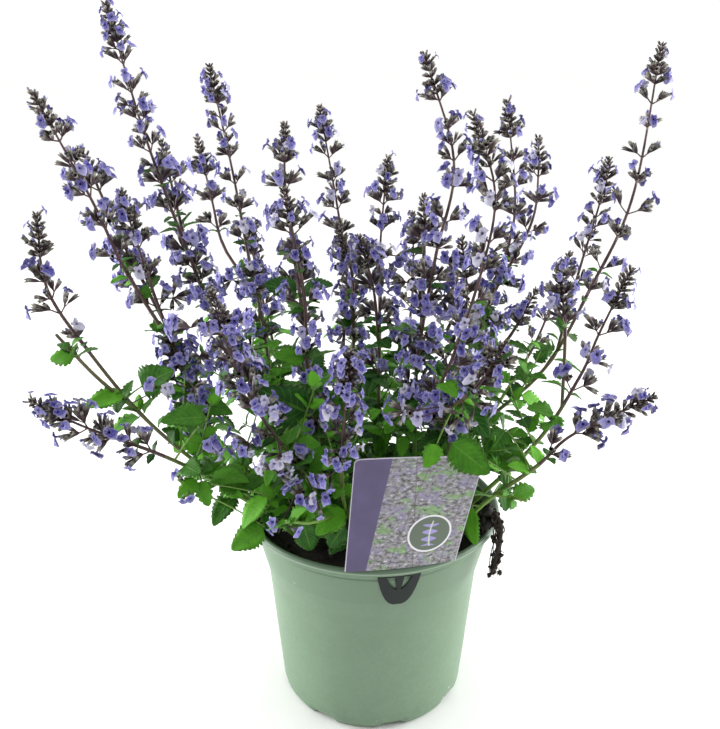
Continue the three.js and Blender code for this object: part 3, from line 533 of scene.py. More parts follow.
# %% Sizes of the label and the root, and the room of all that stands
LABEL_FOOT_WIDTH = 75.5
LABEL_TOP_WIDTH = 81
LABEL_FOOT_Z = POT_HEIGHT + 0.4
LABEL_TOP_Z = 240
LABEL_FOOT_OUT = 93.2
LABEL_SHIFT = 0.6
LABEL_LEAN = 0.085
LABEL_TWIST = 0.00155
LABEL_TILT = 0.098
LABEL_TURN = 0.19 - math.pi / 2
LABEL_BOW = 0.002
LABEL_FLATTENING = 0.000033
ROOT_ROUTE = np.array([
    (68, -37, 149), (77, -42, 155.5), (79, -44, 168), (85, -47, 170),
    (88.5, -49, 159), (88.5, -49.5, 147), (87, -50, 135), (85.5, -50.5, 124),
])
RACHIS = 1.25


def facing(out, across, z):
    """A place on the label's side of the pot: distance from the pot's axis, across the sheet, height."""
    c, s = math.cos(LABEL_TURN), math.sin(LABEL_TURN)
    out, across, z = np.broadcast_arrays(out, across, z)
    return np.stack([out * c - across * s, out * s + across * c, z], -1)


def label_point(across, z, depth):
    up = np.maximum(0, z - LABEL_FOOT_Z)
    bow = (LABEL_BOW - LABEL_FLATTENING * up) * across * across
    lean = (LABEL_LEAN + LABEL_TWIST * across) * up
    return facing(LABEL_FOOT_OUT + lean - bow + depth, LABEL_SHIFT + across + LABEL_TILT * up, z)


room = Room()
for grown in shoots:
    room.take_line(grown["green"], grown["thick"], grown["owner"])
    if grown["bloom"]:
        room.take_line(grown["rachis"], RACHIS + 0.4, grown["number"])
for across in (-34, -20, -7, 7, 20, 34):
    low = label_point(across, 150, 0)
    high = label_point(across * 1.08, LABEL_TOP_Z - 3, 0)
    room.take([rod(low, high, 6.5)], "label")
room.take_line(ROOT_ROUTE, 7.5, "root")
print(room.count, "rods taken by stems, label and root")

# %% [markdown]
# ## Whorls
# The florets of catmint sit in rings, the whorls, with bare stem between them. The whorls are widest and
# furthest apart low on the spike, and draw together into a tight head of buds at its tip. The rooms of the
# six groups of florets of each whorl are claimed with the same draws of the dice as in the solid model.

# %% Find the whorls and claim the florets' room
WHORL_STEP = 20
FIRST_WHORL = 9
BARE_TOP = 14
WHORL_HALF = 2.6
SWOLLEN = RACHIS + 0.35
FLORET_LENGTH = 10
FLORET_MOUTH = 3.8
BUD_SHARE = 0.3
THIRD = FULL_TURN / 3


def whorl_stations(run, roll):
    """Bands of the spike: distance along it, radius, and the size of the florets that leave it."""
    stations = [(0, RACHIS, 0)]
    s = FIRST_WHORL
    while s < run - BARE_TOP:
        share = s / run
        size = (1 if share < 0.5 else 1.26 - 0.52 * share) * (0.92 + 0.16 * roll())
        stations += [(s - WHORL_HALF * size, SWOLLEN, size), (s + WHORL_HALF * size, SWOLLEN, 0)]
        s += WHORL_STEP * (1.12 - 0.3 * share) * (0.94 + 0.12 * roll())
    return stations + [(run - 8, SWOLLEN, 0.6), (run - 4, RACHIS, 0)]


def claim_floret(corners, spot, along, size, layer, owner, roll):
    root = sum(corners) / 3
    out = root - spot
    out = unit(out - along * (out @ along))
    aim = unit(out + along * (0.2 + 0.62 * layer + 0.3 * (roll() - 0.5)))
    bud = roll() < BUD_SHARE
    long = FLORET_LENGTH * size * (0.86 + 0.28 * roll()) * (0.8 if bud else 1)
    mouth = FLORET_MOUTH * (0.3 + 0.7 * size) * (0.4 if bud else 1)
    for share in (1, 0.72):
        rods = [rod(spot, root + aim * long * share, mouth * 0.75)]
        if room.is_clear(rods, owner):
            room.take(rods, owner)
            return


def claim_spike(grown):
    """Claims a spike's room, and gives the distance and size of each of its whorls."""
    roll = dice(grown["number"])
    stations = whorl_stations(lengths(grown["rachis"])[-1], roll)
    rings = []
    for i, (s, radius, _) in enumerate(stations):
        spot, along = at(grown["rachis"], s)
        turns = [(i % 2) * THIRD / 2 + grown["number"] + k * THIRD for k in range(3)]
        rings.append((spot, along, [spot + sideways(along, turn) * radius for turn in turns]))
    for i, (_, _, size) in enumerate(stations[:-1]):
        if not size:
            continue
        spot, along, low = rings[i]
        high = rings[i + 1][2]
        for j in range(3):
            n = (j + 1) % 3
            above, above_next = high[(j + i % 2) % 3], high[(n + i % 2) % 3]
            for layer, corners in enumerate(((low[j], low[n], above), (low[n], above_next, above))):
                claim_floret(corners, spot, along, size, layer, grown["number"], roll)
    return [(s + WHORL_HALF * size, size) for s, _, size in stations[1:-2] if size]


for grown in flowering:
    grown["whorls"] = claim_spike(grown)
print(sum(len(grown["whorls"]) for grown in flowering), "whorls,", room.count, "rods taken")

# %% [markdown]
# ## Leaves
# Catmint carries its leaves in pairs, each pair square to the one below. A pair is set every few centimetres,
# and a leaf that would meet another is turned, raised and made smaller until it is clear, or left out.

# %% Set the pairs of leaves
LEAF_HALF_WIDTH = 0.36
LEAF_FOLD = 0.32
BLADE = 0.8
SMALLEST_LEAF = 9


def leaf_frame(spot, along, turn, rise, thick):
    """Root, direction and upper side of a leaf that leaves a stem at a turn about it."""
    aim = unit(unit(sideways(along, turn) + along * rise + UP * 0.1))
    face = along + UP * 0.7
    face = unit(face - aim * (face @ aim))
    return spot + aim * 0.8 * thick, aim, face


def leaf_rods(root, aim, face, long, bend, rows, r, midrib=1.4):
    across = unit(np.cross(face, aim))
    wide = long * LEAF_HALF_WIDTH

    def place(u, v):
        lift = abs(v) * wide * LEAF_FOLD - bend * long * u * u - BLADE
        return root + aim * u * long + across * v * wide + face * lift

    rods = []
    for u in rows:
        v = 0.86 if u < 0.7 else 0.5
        rods += [rod(place(u, 0), place(u, side * v), r, True, u < 0.3) for side in (1, -1)]
    return [*rods, rod(place(0.3, 0), place(1, 0), midrib, True)]


def leaf_pairs(grown):
    run = lengths(grown["green"])[-1]
    is_main = grown["side"] == 0
    leaves = []
    s = 34 if is_main else 14
    pair = 0
    while s < run + 6:
        place = min(s, run - 2.5)
        spot, along = at(grown["green"], place)
        for side in (0, 1):
            roll = dice(grown["number"] * 64 + pair * 2 + side)
            turn = grown["number"] + (pair % 2 + 2 * side + 1) * math.pi / 2
            long = grown["leafy"] * (1.04 - 0.36 * place / run) * (0.88 + 0.24 * roll())
            bend = 0.12 + 0.16 * roll()
            for attempt in range(8):
                size = long * (1 - 0.06 * attempt)
                if size < SMALLEST_LEAF:
                    break
                small = size <= 16
                around = turn + (0.16 if attempt % 2 else -0.16) * math.ceil(attempt / 2)
                rise = 0.28 + 0.3 * (attempt % 3)
                placed = leaf_frame(spot, along, around, rise, grown["thick"])
                rows = (0.2, 0.6) if small else (0.12, 0.36, 0.62, 0.86)
                rods = leaf_rods(*placed, size, bend, rows, 2 if small else 2.4)
                if room.is_clear(rods, grown["owner"]):
                    room.take(rods, grown["owner"])
                    leaves.append({"s": place, "turn": around, "rise": rise, "long": size, "bend": bend})
                    break
        s += 45 + 0.3 * s if is_main else 48
        pair += 1
    return leaves


for grown in shoots:
    grown["leaves"] = leaf_pairs(grown)
print(sum(len(grown["leaves"]) for grown in shoots), "leaves in pairs,", room.count, "rods taken")

# %% [markdown]
# ## From points to a piece
# Every piece is made of sheets and tubes: rows of points with faces between them. One class gathers such
# parts with the values painted on their points, such as how far up a stem a point lies, and turns them
# into one mesh. The materials read those values later.

# %% Gather parts into one piece
class Surface:
    """Points, faces and painted values, gathered part by part, in millimetres."""

    def __init__(self):
        self.points = []
        self.faces = []
        self.finishes = []
        self.values = {}
        self.count = 0

    def add(self, points, faces, finish=0, **values):
        points = np.asarray(points, float).reshape(-1, 3)
        self.points.append(points)
        for block in faces if isinstance(faces, tuple) else (faces,):
            self.faces.append(np.asarray(block) + self.count)
            self.finishes.append(np.broadcast_to(finish, len(block)))
        for name, value in values.items():
            self.values.setdefault(name, []).append((self.count, np.broadcast_to(value, len(points))))
        self.count += len(points)

    def make(self, name, finishes, node, sharp_angle=None, carve=None):
        """Turns the parts into a piece that rides on the root body and stands for one solid node."""
        mesh = bpy.data.meshes.new(name)
        points = np.concatenate(self.points) * MM
        corners = np.concatenate([block.ravel() for block in self.faces])
        sizes = np.concatenate([np.full(len(block), block.shape[1]) for block in self.faces])
        mesh.vertices.add(len(points))
        mesh.vertices.foreach_set("co", points.ravel())
        mesh.loops.add(len(corners))
        mesh.loops.foreach_set("vertex_index", corners)
        mesh.polygons.add(len(sizes))
        mesh.polygons.foreach_set("loop_start", np.cumsum(sizes) - sizes)
        mesh.polygons.foreach_set("material_index", np.concatenate(self.finishes))
        mesh.polygons.foreach_set("use_smooth", np.ones(len(sizes), bool))
        for value_name, blocks in self.values.items():
            painted = np.zeros(len(points))
            for start, value in blocks:
                painted[start:start + len(value)] = value
            mesh.attributes.new(value_name, "FLOAT", "POINT").data.foreach_set("value", painted)
        mesh.update(calc_edges=True)
        if sharp_angle:
            mesh.set_sharp_from_angle(angle=sharp_angle)
        for finish in finishes:
            mesh.materials.append(finish.material)
        piece = set_out(name, mesh)
        if carve:
            carve(piece)
        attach(piece, "root")
        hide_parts(node)
        triangles = sum(len(face.vertices) - 2 for face in piece.data.polygons)
        print(name, "with", triangles, "triangles")
        return triangles


def grid_faces(rows, columns, closed=False):
    """Four-cornered faces between rows of points. In a closed grid the last column joins the first."""
    r, c = np.mgrid[0:rows - 1, 0:columns if closed else columns - 1]
    n = (c + 1) % columns
    corners = [r * columns + c, r * columns + n, (r + 1) * columns + n, (r + 1) * columns + c]
    return np.stack(corners, -1).reshape(-1, 4)


def plate_faces(keep):
    """Faces of a thin closed plate: a front grid of points, then a back grid. Keep marks the cells it has."""
    rows, columns = keep.shape
    index = np.arange((rows + 1) * (columns + 1)).reshape(rows + 1, columns + 1)
    corners = [index[:-1, :-1], index[:-1, 1:], index[1:, 1:], index[1:, :-1]]
    padded = np.pad(keep, 1)
    beyond = [padded[:-2, 1:-1], padded[1:-1, 2:], padded[2:, 1:-1], padded[1:-1, :-2]]
    front = np.stack(corners, -1)[keep]
    faces = [front, front[:, ::-1] + index.size]
    for side in range(4):
        bare = keep & ~beyond[side]
        start, end = corners[side][bare], corners[(side + 1) % 4][bare]
        faces.append(np.stack([end, start, start + index.size, end + index.size], -1))
    return np.concatenate(faces)


def capped_faces(rows, columns):
    """Faces of a closed grid whose ends are shut by two more points, first the one of its first row."""
    faces = [grid_faces(rows, columns, closed=True)]
    for end, start in enumerate((0, (rows - 1) * columns)):
        ring = start + np.arange(columns)
        following = start + (np.arange(columns) + 1) % columns
        middle = np.full(columns, rows * columns + end)
        faces.append(np.stack([middle, ring, following] if end else [middle, following, ring], -1))
    return tuple(faces)


def turns_of(count):
    return np.arange(count) * FULL_TURN / count


def frames(points):
    """Direction and two square directions at each point of a chain."""
    along = np.gradient(points, axis=0)
    along /= np.linalg.norm(along, axis=1)[:, None]
    first = np.cross((0.0, 1.0, 0.0), along)
    first /= np.linalg.norm(first, axis=1)[:, None]
    return along, first, np.cross(along, first)


def tube(points, radii, turns):
    """Rings of points round a chain, with a row of radii for each place and a column for each turn."""
    _, first, second = frames(points)
    around = first[:, None] * np.cos(turns)[None, :, None] + second[:, None] * np.sin(turns)[None, :, None]
    return points[:, None] + around * np.asarray(radii)[:, :, None]


def resampled(points, steps):
    """A chain cut anew at the given distances."""
    run = lengths(points)
    return np.stack([np.interp(steps, run, points[:, k]) for k in range(3)], -1)


# %% [markdown]
# ## Stem, leaf and flower finishes
# Catmint stems are olive green at the foot and turn to a dark brown purple under the flowers. The leaves are
# a matt mid green with paler, sunken veins, brighter where they are young, and painted darker where they
# stand in shade. The calyx is nearly black with grey tips, and the petals run from blue violet to a pale
# lilac, with a grey bloom, dark marks in the throat and pale rims that are a painted highlight. All of that
# is painted from values on the mesh, with fine noise for the down and the skin's cells.

# %% Finishes of the living parts
VEINS = 8
VEIN_SLANT = 0.34

stem_skin = Finish("stem_skin")
ripeness = stem_skin.painted("ripeness") + (stem_skin.noise(60.0) - 0.5) * 0.35
stem_tone = stem_skin.layers(
    (104, 142, 50),
    (ripeness.ramp(0.1, 0.42), (98, 92, 60)),
    (ripeness.ramp(0.4, 0.75), (82, 58, 58)),
)
stem_skin.coat(stem_tone, stem_skin.noise(400.0) * 0.25 + 0.42, stem_skin.noise(900.0, 4.0), 0.0002, 0.5)

leaf_skin = Finish("leaf_skin", shine=0.22)
half_side = abs(leaf_skin.painted("leaf_side"))
vein_phase = (leaf_skin.painted("leaf_run") - half_side * VEIN_SLANT) * VEINS
side_veins = 1 - vein_phase.ping_pong(0.5).ramp(0.02, 0.12)
veins = (side_veins * 0.7).maximum(1 - half_side.ramp(0.02, 0.08))
leaf_mottle = leaf_skin.noise(220.0, 4.0)
leaf_light = leaf_skin.painted("leaf_shade") + (leaf_mottle - 0.5) * 0.5
leaf_tone = leaf_skin.layers(
    (22, 74, 14),
    (leaf_light.ramp(0.0, 1.0), (94, 168, 33)),
    (veins * 0.36, (112, 166, 66)),
    (half_side.ramp(0.8, 1.0) * 0.3, (150, 178, 120)),
    (leaf_skin.painted("leaf_under") * 0.6, (122, 152, 98)),
)
leaf_skin.coat(leaf_tone, leaf_mottle * 0.2 + 0.48, leaf_skin.noise(1100.0, 3.0) * 0.5 - veins, 0.0003, 0.6)

calyx_skin = Finish("calyx_skin", shine=0.3)
calyx_shade = calyx_skin.painted("calyx_shade") + (calyx_skin.noise(500.0) - 0.5) * 0.6
calyx_tone = calyx_skin.layers(
    (44, 30, 35),
    (calyx_shade.ramp(0.0, 1.0), (94, 78, 80)),
    (calyx_skin.painted("calyx_run").ramp(0.55, 0.95) * 0.85,
     calyx_skin.layers((100, 100, 88), (calyx_shade, (196, 194, 182)))),
)
calyx_skin.coat(calyx_tone, calyx_skin.noise(700.0) * 0.3 + 0.45, calyx_skin.noise(1500.0, 3.0), 0.0002, 0.5)

petal_skin = Finish("petal_skin", shine=0.3)
petal_run = petal_skin.painted("petal_run")
petal_shade = petal_skin.painted("petal_shade")
petal_veil = petal_skin.noise(450.0, 3.0)
petal_light = petal_shade + (petal_skin.noise(950.0, 2.0) - 0.5) * 2.0
throat = petal_run.ramp(0.4, 0.52) - petal_run.ramp(0.56, 0.74)
petal_tone = petal_skin.layers(
    (76, 70, 154),
    (petal_light.ramp(0.0, 0.8), (140, 135, 206)),
    (petal_shade.ramp(0.72, 0.92) * 0.85, (208, 206, 217)),
    # Painted highlight: the rims of the lips are paler, as light catches their edges.
    (petal_run.ramp(0.78, 1.0) * 0.45, (200, 196, 230)),
    (petal_veil.ramp(0.48, 0.7) * 0.62, (158, 157, 166)),
    (throat * petal_veil.ramp(0.35, 0.65) * 0.5, (66, 56, 136)),
)
petal_skin.coat(petal_tone, petal_veil * 0.2 + 0.45, petal_skin.noise(1300.0, 3.0), 0.0002, 0.35)

# %% [markdown]
# ## A square stem
# Mint stems are square, with rounded corners and a shallow groove down each face. Each ring of the tube has
# twelve points, whose distances from the middle draw that outline. A ring lies every few millimetres, and the
# stem swells a little at each pair of leaves.

# %% Draw a stem
STEM_STEP = 8.0
SECTION = 12
LEAFY_TIP = 0.9
SWELLING = 0.14
STEM_FINISH = 0
LEAF_FINISH = 1
# A leafy shoot that ends early: its number, and the share of its length that is drawn.
CUT_SHORT = {28: 0.42}


def fine_place(grown, s):
    """Place and direction on the fine curve for a distance along the plain chain."""
    return at(grown["fine"], s * grown["stretching"])


def green_stem(surface, grown):
    number, bloom = grown["number"], grown["bloom"]
    end = grown["bare"] if bloom else lengths(grown["points"])[-1] * CUT_SHORT.get(number, 1)
    steps = np.linspace(0, end, max(6, int(end / STEM_STEP)))
    points = resampled(grown["fine"], steps * grown["stretching"])
    thin = SIDE_STEM if bloom else LEAFY_TIP
    base = grown["thick"] + (thin - grown["thick"]) * steps / end
    for leaf in grown["leaves"]:
        base = base * (1 + SWELLING * np.exp(-((steps - leaf["s"]) / 3) ** 2))
    turns = math.pi / 4 + number + turns_of(SECTION)
    corner = np.cos(2 * (turns - number - math.pi / 4)) ** 2
    rings = tube(points, base[:, None] * (0.9 + 0.2 * corner)[None], turns)
    heights = np.clip((points[:, 2] - SOIL_TOP) / 250, 0, 1)
    ripe = np.repeat(heights + (-0.03 if bloom else -0.15), SECTION)
    surface.add(rings, grid_faces(len(steps), SECTION, closed=True), STEM_FINISH, ripeness=ripe)
    tip = np.vstack([rings[-1], points[-1] + frames(points)[0][-1] * base[-1] * 0.5])
    cap = [(i, (i + 1) % SECTION, SECTION) for i in range(SECTION)]
    surface.add(tip, cap, STEM_FINISH, ripeness=ripe[-1])


# %% [markdown]
# ## A toothed leaf
# The blade is a grid of points. Its outline swells quickly from a short stalk, is widest at a quarter of its
# length and runs to a blunt tip, and rounded teeth are cut into its edge. The blade is folded a little along
# the midrib, puckered between the side veins, and bends down to its tip. Its underside shares the edge with
# its upper side and lies deepest under the midrib, so the leaf is a closed, thin body.

# %% Templates of a leaf blade
STALK_SHARE = 0.09


def leaf_template(rows, columns, teeth, depth):
    """Run, side and half width of each point of a blade, and the faces of its two sides."""
    run = np.concatenate([[0, 0.05], np.linspace(STALK_SHARE, 1, rows)])[:, None]
    side = np.linspace(-1, 1, columns)[None]
    blade = np.clip((run - STALK_SHARE * 0.9) / (1 - STALK_SHARE * 0.9), 0, 1)
    half_width = np.sin(math.pi * blade ** 0.58) ** 0.66
    scallop = np.abs(np.sin(math.pi * teeth * blade ** 0.9)) ** 0.7
    cut = depth * (1 - scallop) * np.clip(blade * 8, 0, 1) * (1 - 0.4 * blade)
    half_width = np.maximum(half_width * (1 - cut * np.abs(side) ** 4), 0.045 * (1 - run))
    run, side = np.broadcast_arrays(run, side)
    inner = np.zeros(run.shape, bool)
    inner[1:-1, 1:-1] = True
    under = np.arange(run.size).reshape(run.shape)
    under[inner] = run.size + np.arange(inner.sum())
    top = grid_faces(*run.shape)
    faces = np.vstack([top, under.ravel()[top][:, ::-1]])
    return run.ravel(), side.ravel(), half_width.ravel(), inner.ravel(), faces


LARGE_BLADE = leaf_template(29, 5, 9, 0.3)
MEDIUM_BLADE = leaf_template(15, 5, 5, 0.4)
SMALL_BLADE = leaf_template(10, 3, 3, 0.4)


def blade(surface, template, finish, placed, long, bend, rng, shade):
    """Adds one leaf: root, direction and upper side, then its length, and how far its tip bends."""
    root, aim, face = placed
    across = unit(np.cross(face, aim))
    roll = rng.normal(0, 0.32)
    c, s = math.cos(roll), math.sin(roll)
    across, face = across * c - face * s, face * c + across * s
    wide = long * LEAF_HALF_WIDTH * rng.uniform(1.0, 1.25)
    u, v, w, inner, faces = template
    phase = rng.uniform(0, 1, 3)
    from_midrib = np.abs(v)
    fold = LEAF_FOLD * wide * w * (np.sqrt(v * v + 0.04) - 0.2)
    between_veins = np.abs(np.sin(math.pi * (u - VEIN_SLANT * from_midrib) * VEINS))
    pucker = 0.016 * long * between_veins * from_midrib ** 0.5 * w
    wave = 0.03 * long * v * w * np.sin(FULL_TURN * (u * 1.4 + phase[0]))
    curl = -0.05 * long * (from_midrib * w) ** 3 * rng.uniform(0.2, 1.4)
    swing = 0.06 * long * (phase[1] - 0.5) * u * u
    lift = fold + pucker + wave + curl - bend * long * u * u
    top = root + np.outer(u * long, aim) + np.outer(v * w * wide + swing, across) + np.outer(lift, face)
    thick = 0.35 + 0.9 * np.exp(-(u / 0.1) ** 2)
    bottom = (top - np.outer(thick, face))[inner]
    surface.add(
        np.vstack([top, bottom]), faces, finish,
        leaf_run=np.concatenate([u, u[inner]]), leaf_side=np.concatenate([v, v[inner]]),
        leaf_shade=shade, leaf_under=np.concatenate([np.zeros(len(u)), np.ones(inner.sum())]),
    )

# %% [markdown]
# ## More leaves where the plant is dense
# Between the large pairs sit smaller leaves, and short leafy twigs grow from the stems as well. They fill the
# crown over the soil, and many of them hang a little. Each one looks for room in the same way, with thin
# rods, as fine leaves may nearly touch.

# %% Plan the smaller leaves and the twigs
# The top of the dense leaves, from left to right.
CROWN_X = (-150, -90, -45, -10, 40, 100, 140)
CROWN_TOPS = (240, 262, 298, 262, 262, 288, 250)
# The underside of the leaves, from the pot's axis outward.
SKIRT_OUT = (78, 92, 106, 150, 200)
SKIRT_Z = (140, 182, 208, 252, 285)
REACH_BACK = 150
FILLER_STEP = 7
TUFTS = 3


def is_in_crown(spot, fall):
    """Whether a place lies low enough for the dense leaves."""
    return spot[2] < np.interp(spot[0], CROWN_X, CROWN_TOPS) - fall


def is_open_air(spot):
    """Small leaves keep out of the air under and behind the crown, by the label and by the dry root."""
    skirt = np.interp(math.hypot(spot[0], spot[1]), SKIRT_OUT, SKIRT_Z) - (25 if spot[0] < 0 else 0)
    by_root = spot[0] > 42 and spot[1] < 40 and spot[2] < 196
    by_label = -42 < spot[0] < 62 and spot[1] < -80 and spot[2] < 236
    return spot[2] < skirt or spot[1] > REACH_BACK or by_root or by_label


def fill_leaf(leaves, owner, spot, along, turn, rise, long, bend, thick):
    """Adds a small leaf at a place on a stem or twig to the leaves, if it finds room there."""
    placed = leaf_frame(spot, along, turn, rise, thick)
    rods = leaf_rods(*placed, long, bend, (0.35, 0.7), 0.6, 0.8)
    if not is_open_air(placed[0] + placed[1] * long * 0.7) and room.is_clear(rods, owner, own_share=0.5):
        room.take(rods, owner)
        leaves.append({"placed": placed, "long": long, "bend": bend})


def twig(owner, spot, along, turn, long, rng):
    """A short leafy side shoot: its course, and its leaves in crossed pairs."""
    aim = unit(sideways(along, turn) + along * rng.uniform(0.3, 0.9))
    steps = np.linspace(0, 1, 8)[:, None]
    course = spot + aim * long * steps + UP * long * rng.uniform(0.0, 0.4) * steps ** 2
    leaves = []
    if np.any([is_in_pot(point, 1) or is_open_air(point) for point in course[2:]]):
        return course, leaves
    pairs = max(2, int(long / 10))
    for k in range(pairs):
        share = (k + 0.7) / pairs
        place, towards = at(course, share * lengths(course)[-1])
        for side in (0, 1):
            size = (19 - 8 * share) * rng.uniform(0.75, 1.15)
            around = turn + k * math.pi / 2 + side * math.pi + rng.uniform(-0.3, 0.3)
            rise = rng.uniform(-0.2, 0.6) + 0.7 * share
            fill_leaf(leaves, owner, place, towards, around, rise, size, rng.uniform(0.1, 0.4), 0.7)
    return course, leaves


for grown in shoots:
    rng = np.random.default_rng(400 + grown["number"])
    run = lengths(grown["green"])[-1] * CUT_SHORT.get(grown["number"], 1)
    owner, thick = grown["owner"], grown["thick"]
    grown["leaves"] = [leaf for leaf in grown["leaves"] if leaf["s"] < run]
    grown["fillers"] = []
    grown["twigs"] = []
    for s in np.arange(14, run, FILLER_STEP):
        spot, along = at(grown["green"], s)
        in_crown = is_in_crown(spot, 35 * rng.uniform())
        if not in_crown and rng.uniform() > 0.2:
            continue
        for _ in range(2 + (rng.uniform() < 0.35) if in_crown else 1):
            turn = rng.uniform(0, FULL_TURN)
            rise = rng.uniform(-0.7, 0.7) if in_crown else rng.uniform(-0.2, 0.6)
            long = rng.uniform(15, 27) if in_crown else rng.uniform(8, 13)
            fill_leaf(grown["fillers"], owner, spot, along, turn, rise, long, rng.uniform(0.1, 0.45), thick)
        if is_in_crown(spot, 20) and rng.uniform() < 0.4:
            course, leaves = twig(owner, spot, along, rng.uniform(0, FULL_TURN), rng.uniform(22, 52), rng)
            if leaves:
                grown["twigs"].append((course, leaves))
    for leaf in grown["leaves"]:
        for _ in range(TUFTS):
            turn = leaf["turn"] + rng.uniform(-0.7, 0.7)
            spot, along = at(grown["green"], min(run - 1, leaf["s"] + rng.uniform(1, 4)))
            long = rng.uniform(7, 12)
            fill_leaf(grown["fillers"], owner, spot, along, turn, rng.uniform(0.8, 1.8), long, 0.1, thick)
twig_leaves = [leaves for grown in shoots for _, leaves in grown["twigs"]]
print(sum(len(grown["fillers"]) for grown in shoots), "smaller leaves,", len(twig_leaves), "twigs with",
      sum(len(leaves) for leaves in twig_leaves), "leaves")

# %% [markdown]
# ## Stems with their leaves
# One piece holds a stem, its side shoots and all their leaves, as one stem of the solid model does. Long
# leaves use the template with the most teeth. Leaves low on a shoot are painted darker green as painted
# shade, and the ones near its end are young and bright. The smaller leaves deep in the crown are painted
# darker as painted shade too, and the outer ones lighter.

# %% Make the stems
# Single leaves that catch the eye, by stem: root and tip of the blade, where its upper side faces, shade.
STANDING_OUT = {
    4: [((-50, -33, 327), (-70, -42, 337), (0, -0.6, 0.8), 0.1),
        ((-49, -33, 327), (-28, -42, 338), (0.1, -0.6, 0.8), 0.1)],
    8: [((38, -100, 251), (31, -108, 238), (0.1, -0.8, 0.5), 0.7),
        ((52, -62, 266), (73, -82, 248), (0.1, -0.8, 0.6), 0.15)],
    12: [((-160, -70, 270), (-184, -80, 269), (-0.1, -0.5, 0.9), 0.75),
         ((-152, -60, 272), (-130, -70, 288), (-0.3, -0.7, 0.5), 0.3)],
    13: [((-105, -85, 262), (-132, -95, 266), (0.1, -0.8, 0.5), 0.4),
         ((-114, -85, 218), (-126, -95, 211), (-0.2, -0.7, 0.6), 0.9),
         ((-112, -85, 218), (-107, -92, 202), (0.1, -0.8, 0.5), 0.6)],
    14: [((47, -92, 248), (70, -108, 235), (0.3, -0.8, 0.6), 0.45),
         ((66, -66, 188), (67, -70, 158), (-0.1, -1, 0.2), 0.75),
         ((87, -52, 198), (93, -58, 179), (0.5, -0.8, 0.4), 0.2),
         ((87, -60, 242), (72, -76, 229), (0, -0.8, 0.6), 0.3),
         ((98, -60, 228), (84, -71, 218), (0.1, -0.8, 0.6), 0.55)],
    15: [((-47, -84, 186), (-42, -82, 161), (0, -0.9, 0.5), 0.2),
         ((-42, -70, 258), (-71, -85, 279), (0, -0.8, 0.5), 0.05)],
    16: [((-19, -84, 184), (-31, -82, 164), (0, -0.9, 0.5), 0.15),
         ((-19, -84, 196), (-39, -92, 182), (-0.1, -0.8, 0.6), 0.7)],
    18: [((-71, -95, 189), (-92, -106, 180), (-0.3, -0.6, 0.7), 0.6),
         ((-69, -88, 208), (-86, -101, 193), (-0.3, -0.8, 0.5), 0.8)],
}


def any_leaf(surface, placed, long, bend, rng, shade):
    template = LARGE_BLADE if long > 24 else MEDIUM_BLADE if long > 12 else SMALL_BLADE
    blade(surface, template, LEAF_FINISH, placed, long, bend, rng, shade)


def twig_stem(surface, course):
    turns = turns_of(6)
    radii = np.linspace(0.75, 0.45, len(course))[:, None] + 0 * turns
    faces = grid_faces(len(course), 6, closed=True)
    surface.add(tube(course, radii, turns), faces, STEM_FINISH, ripeness=-0.1)


def single_leaf(surface, stem_shoots, root, tip, face, rng, shade):
    """A leaf given in a list, which a thin stalk joins to the nearest shoot of its stem."""
    root = np.array(root, float)
    aim = np.array(tip, float) - root
    long = np.linalg.norm(aim)
    aim /= long
    face = np.array(face, float)
    face = unit(face - aim * (face @ aim))
    nearest = [nearest_on(grown["fine"], root) for grown in stem_shoots]
    spot = min(nearest, key=lambda place: np.linalg.norm(place - root))
    steps = np.linspace(0, 1, 7)[:, None]
    sag = UP * 0.15 * np.linalg.norm(root - spot) * (steps - steps ** 2)
    twig_stem(surface, spot + (root - spot) * steps + sag)
    any_leaf(surface, (root, aim, face), long, 0.12, rng, shade)


total_triangles = 0
for stem_number in range(1, len(STEM_THICK) + 1):
    surface = Surface()
    stem_shoots = [grown for grown in shoots if grown["stem"] == stem_number]
    for grown in stem_shoots:
        rng = np.random.default_rng(grown["number"])
        green_stem(surface, grown)
        run = lengths(grown["green"])[-1]
        for leaf in grown["leaves"]:
            spot, along = fine_place(grown, leaf["s"])
            placed = leaf_frame(spot, along, leaf["turn"], leaf["rise"], grown["thick"])
            # Painted shade: leaves low on a shoot are darker; young ones near its end are brighter.
            shade = 0.2 + 0.4 * leaf["s"] / run + rng.uniform(-0.25, 0.3)
            long = leaf["long"] * (0.72 if is_open_air(spot) else 1)
            any_leaf(surface, placed, long, leaf["bend"], rng, shade)
        for leaf in grown["fillers"]:
            # Painted shade: smaller leaves deep in the crown are darker, and outer ones lighter.
            painted_outer_light = np.interp(math.hypot(*leaf["placed"][0][:2]), (40, 95), (0, 0.45))
            any_leaf(surface, *leaf.values(), rng, rng.uniform(-0.25, 0.6) + painted_outer_light)
        for course, leaves in grown["twigs"]:
            twig_stem(surface, course)
            for leaf in leaves:
                any_leaf(surface, *leaf.values(), rng, rng.uniform(0.0, 1.1))
    rng = np.random.default_rng(699 + stem_number)
    for root, tip, face, shade in STANDING_OUT.get(stem_number, ()):
        single_leaf(surface, stem_shoots, root, tip, face, rng, shade)
    total_triangles += surface.make(
        f"stem_with_leaves_{stem_number:02d}", [stem_skin, leaf_skin],
        f"stem_{stem_number:02d}")
print(total_triangles, "triangles in stems and leaves")

# %% [markdown]
# ## One floret
# A floret of catmint has two parts. The calyx is a long, ribbed, dark tube with five pointed teeth. Out of it
# comes the slender petal tube, which widens into a throat and opens in two lips: a short, notched one above
# and a long one of three lobes that turns down below. Both are drawn as rings round an axis. The length and
# the flare of the last rings change round the mouth, and that alone makes the lips. Thousands of florets are
# needed, so each ring has just the points that its teeth or lobes need.

# %% Templates of calyx, bud and petals
CALYX_LENGTH = 8.6
PETAL_SIDES = 14
TUBE_LENGTH = 5.2
THROAT = 0.9


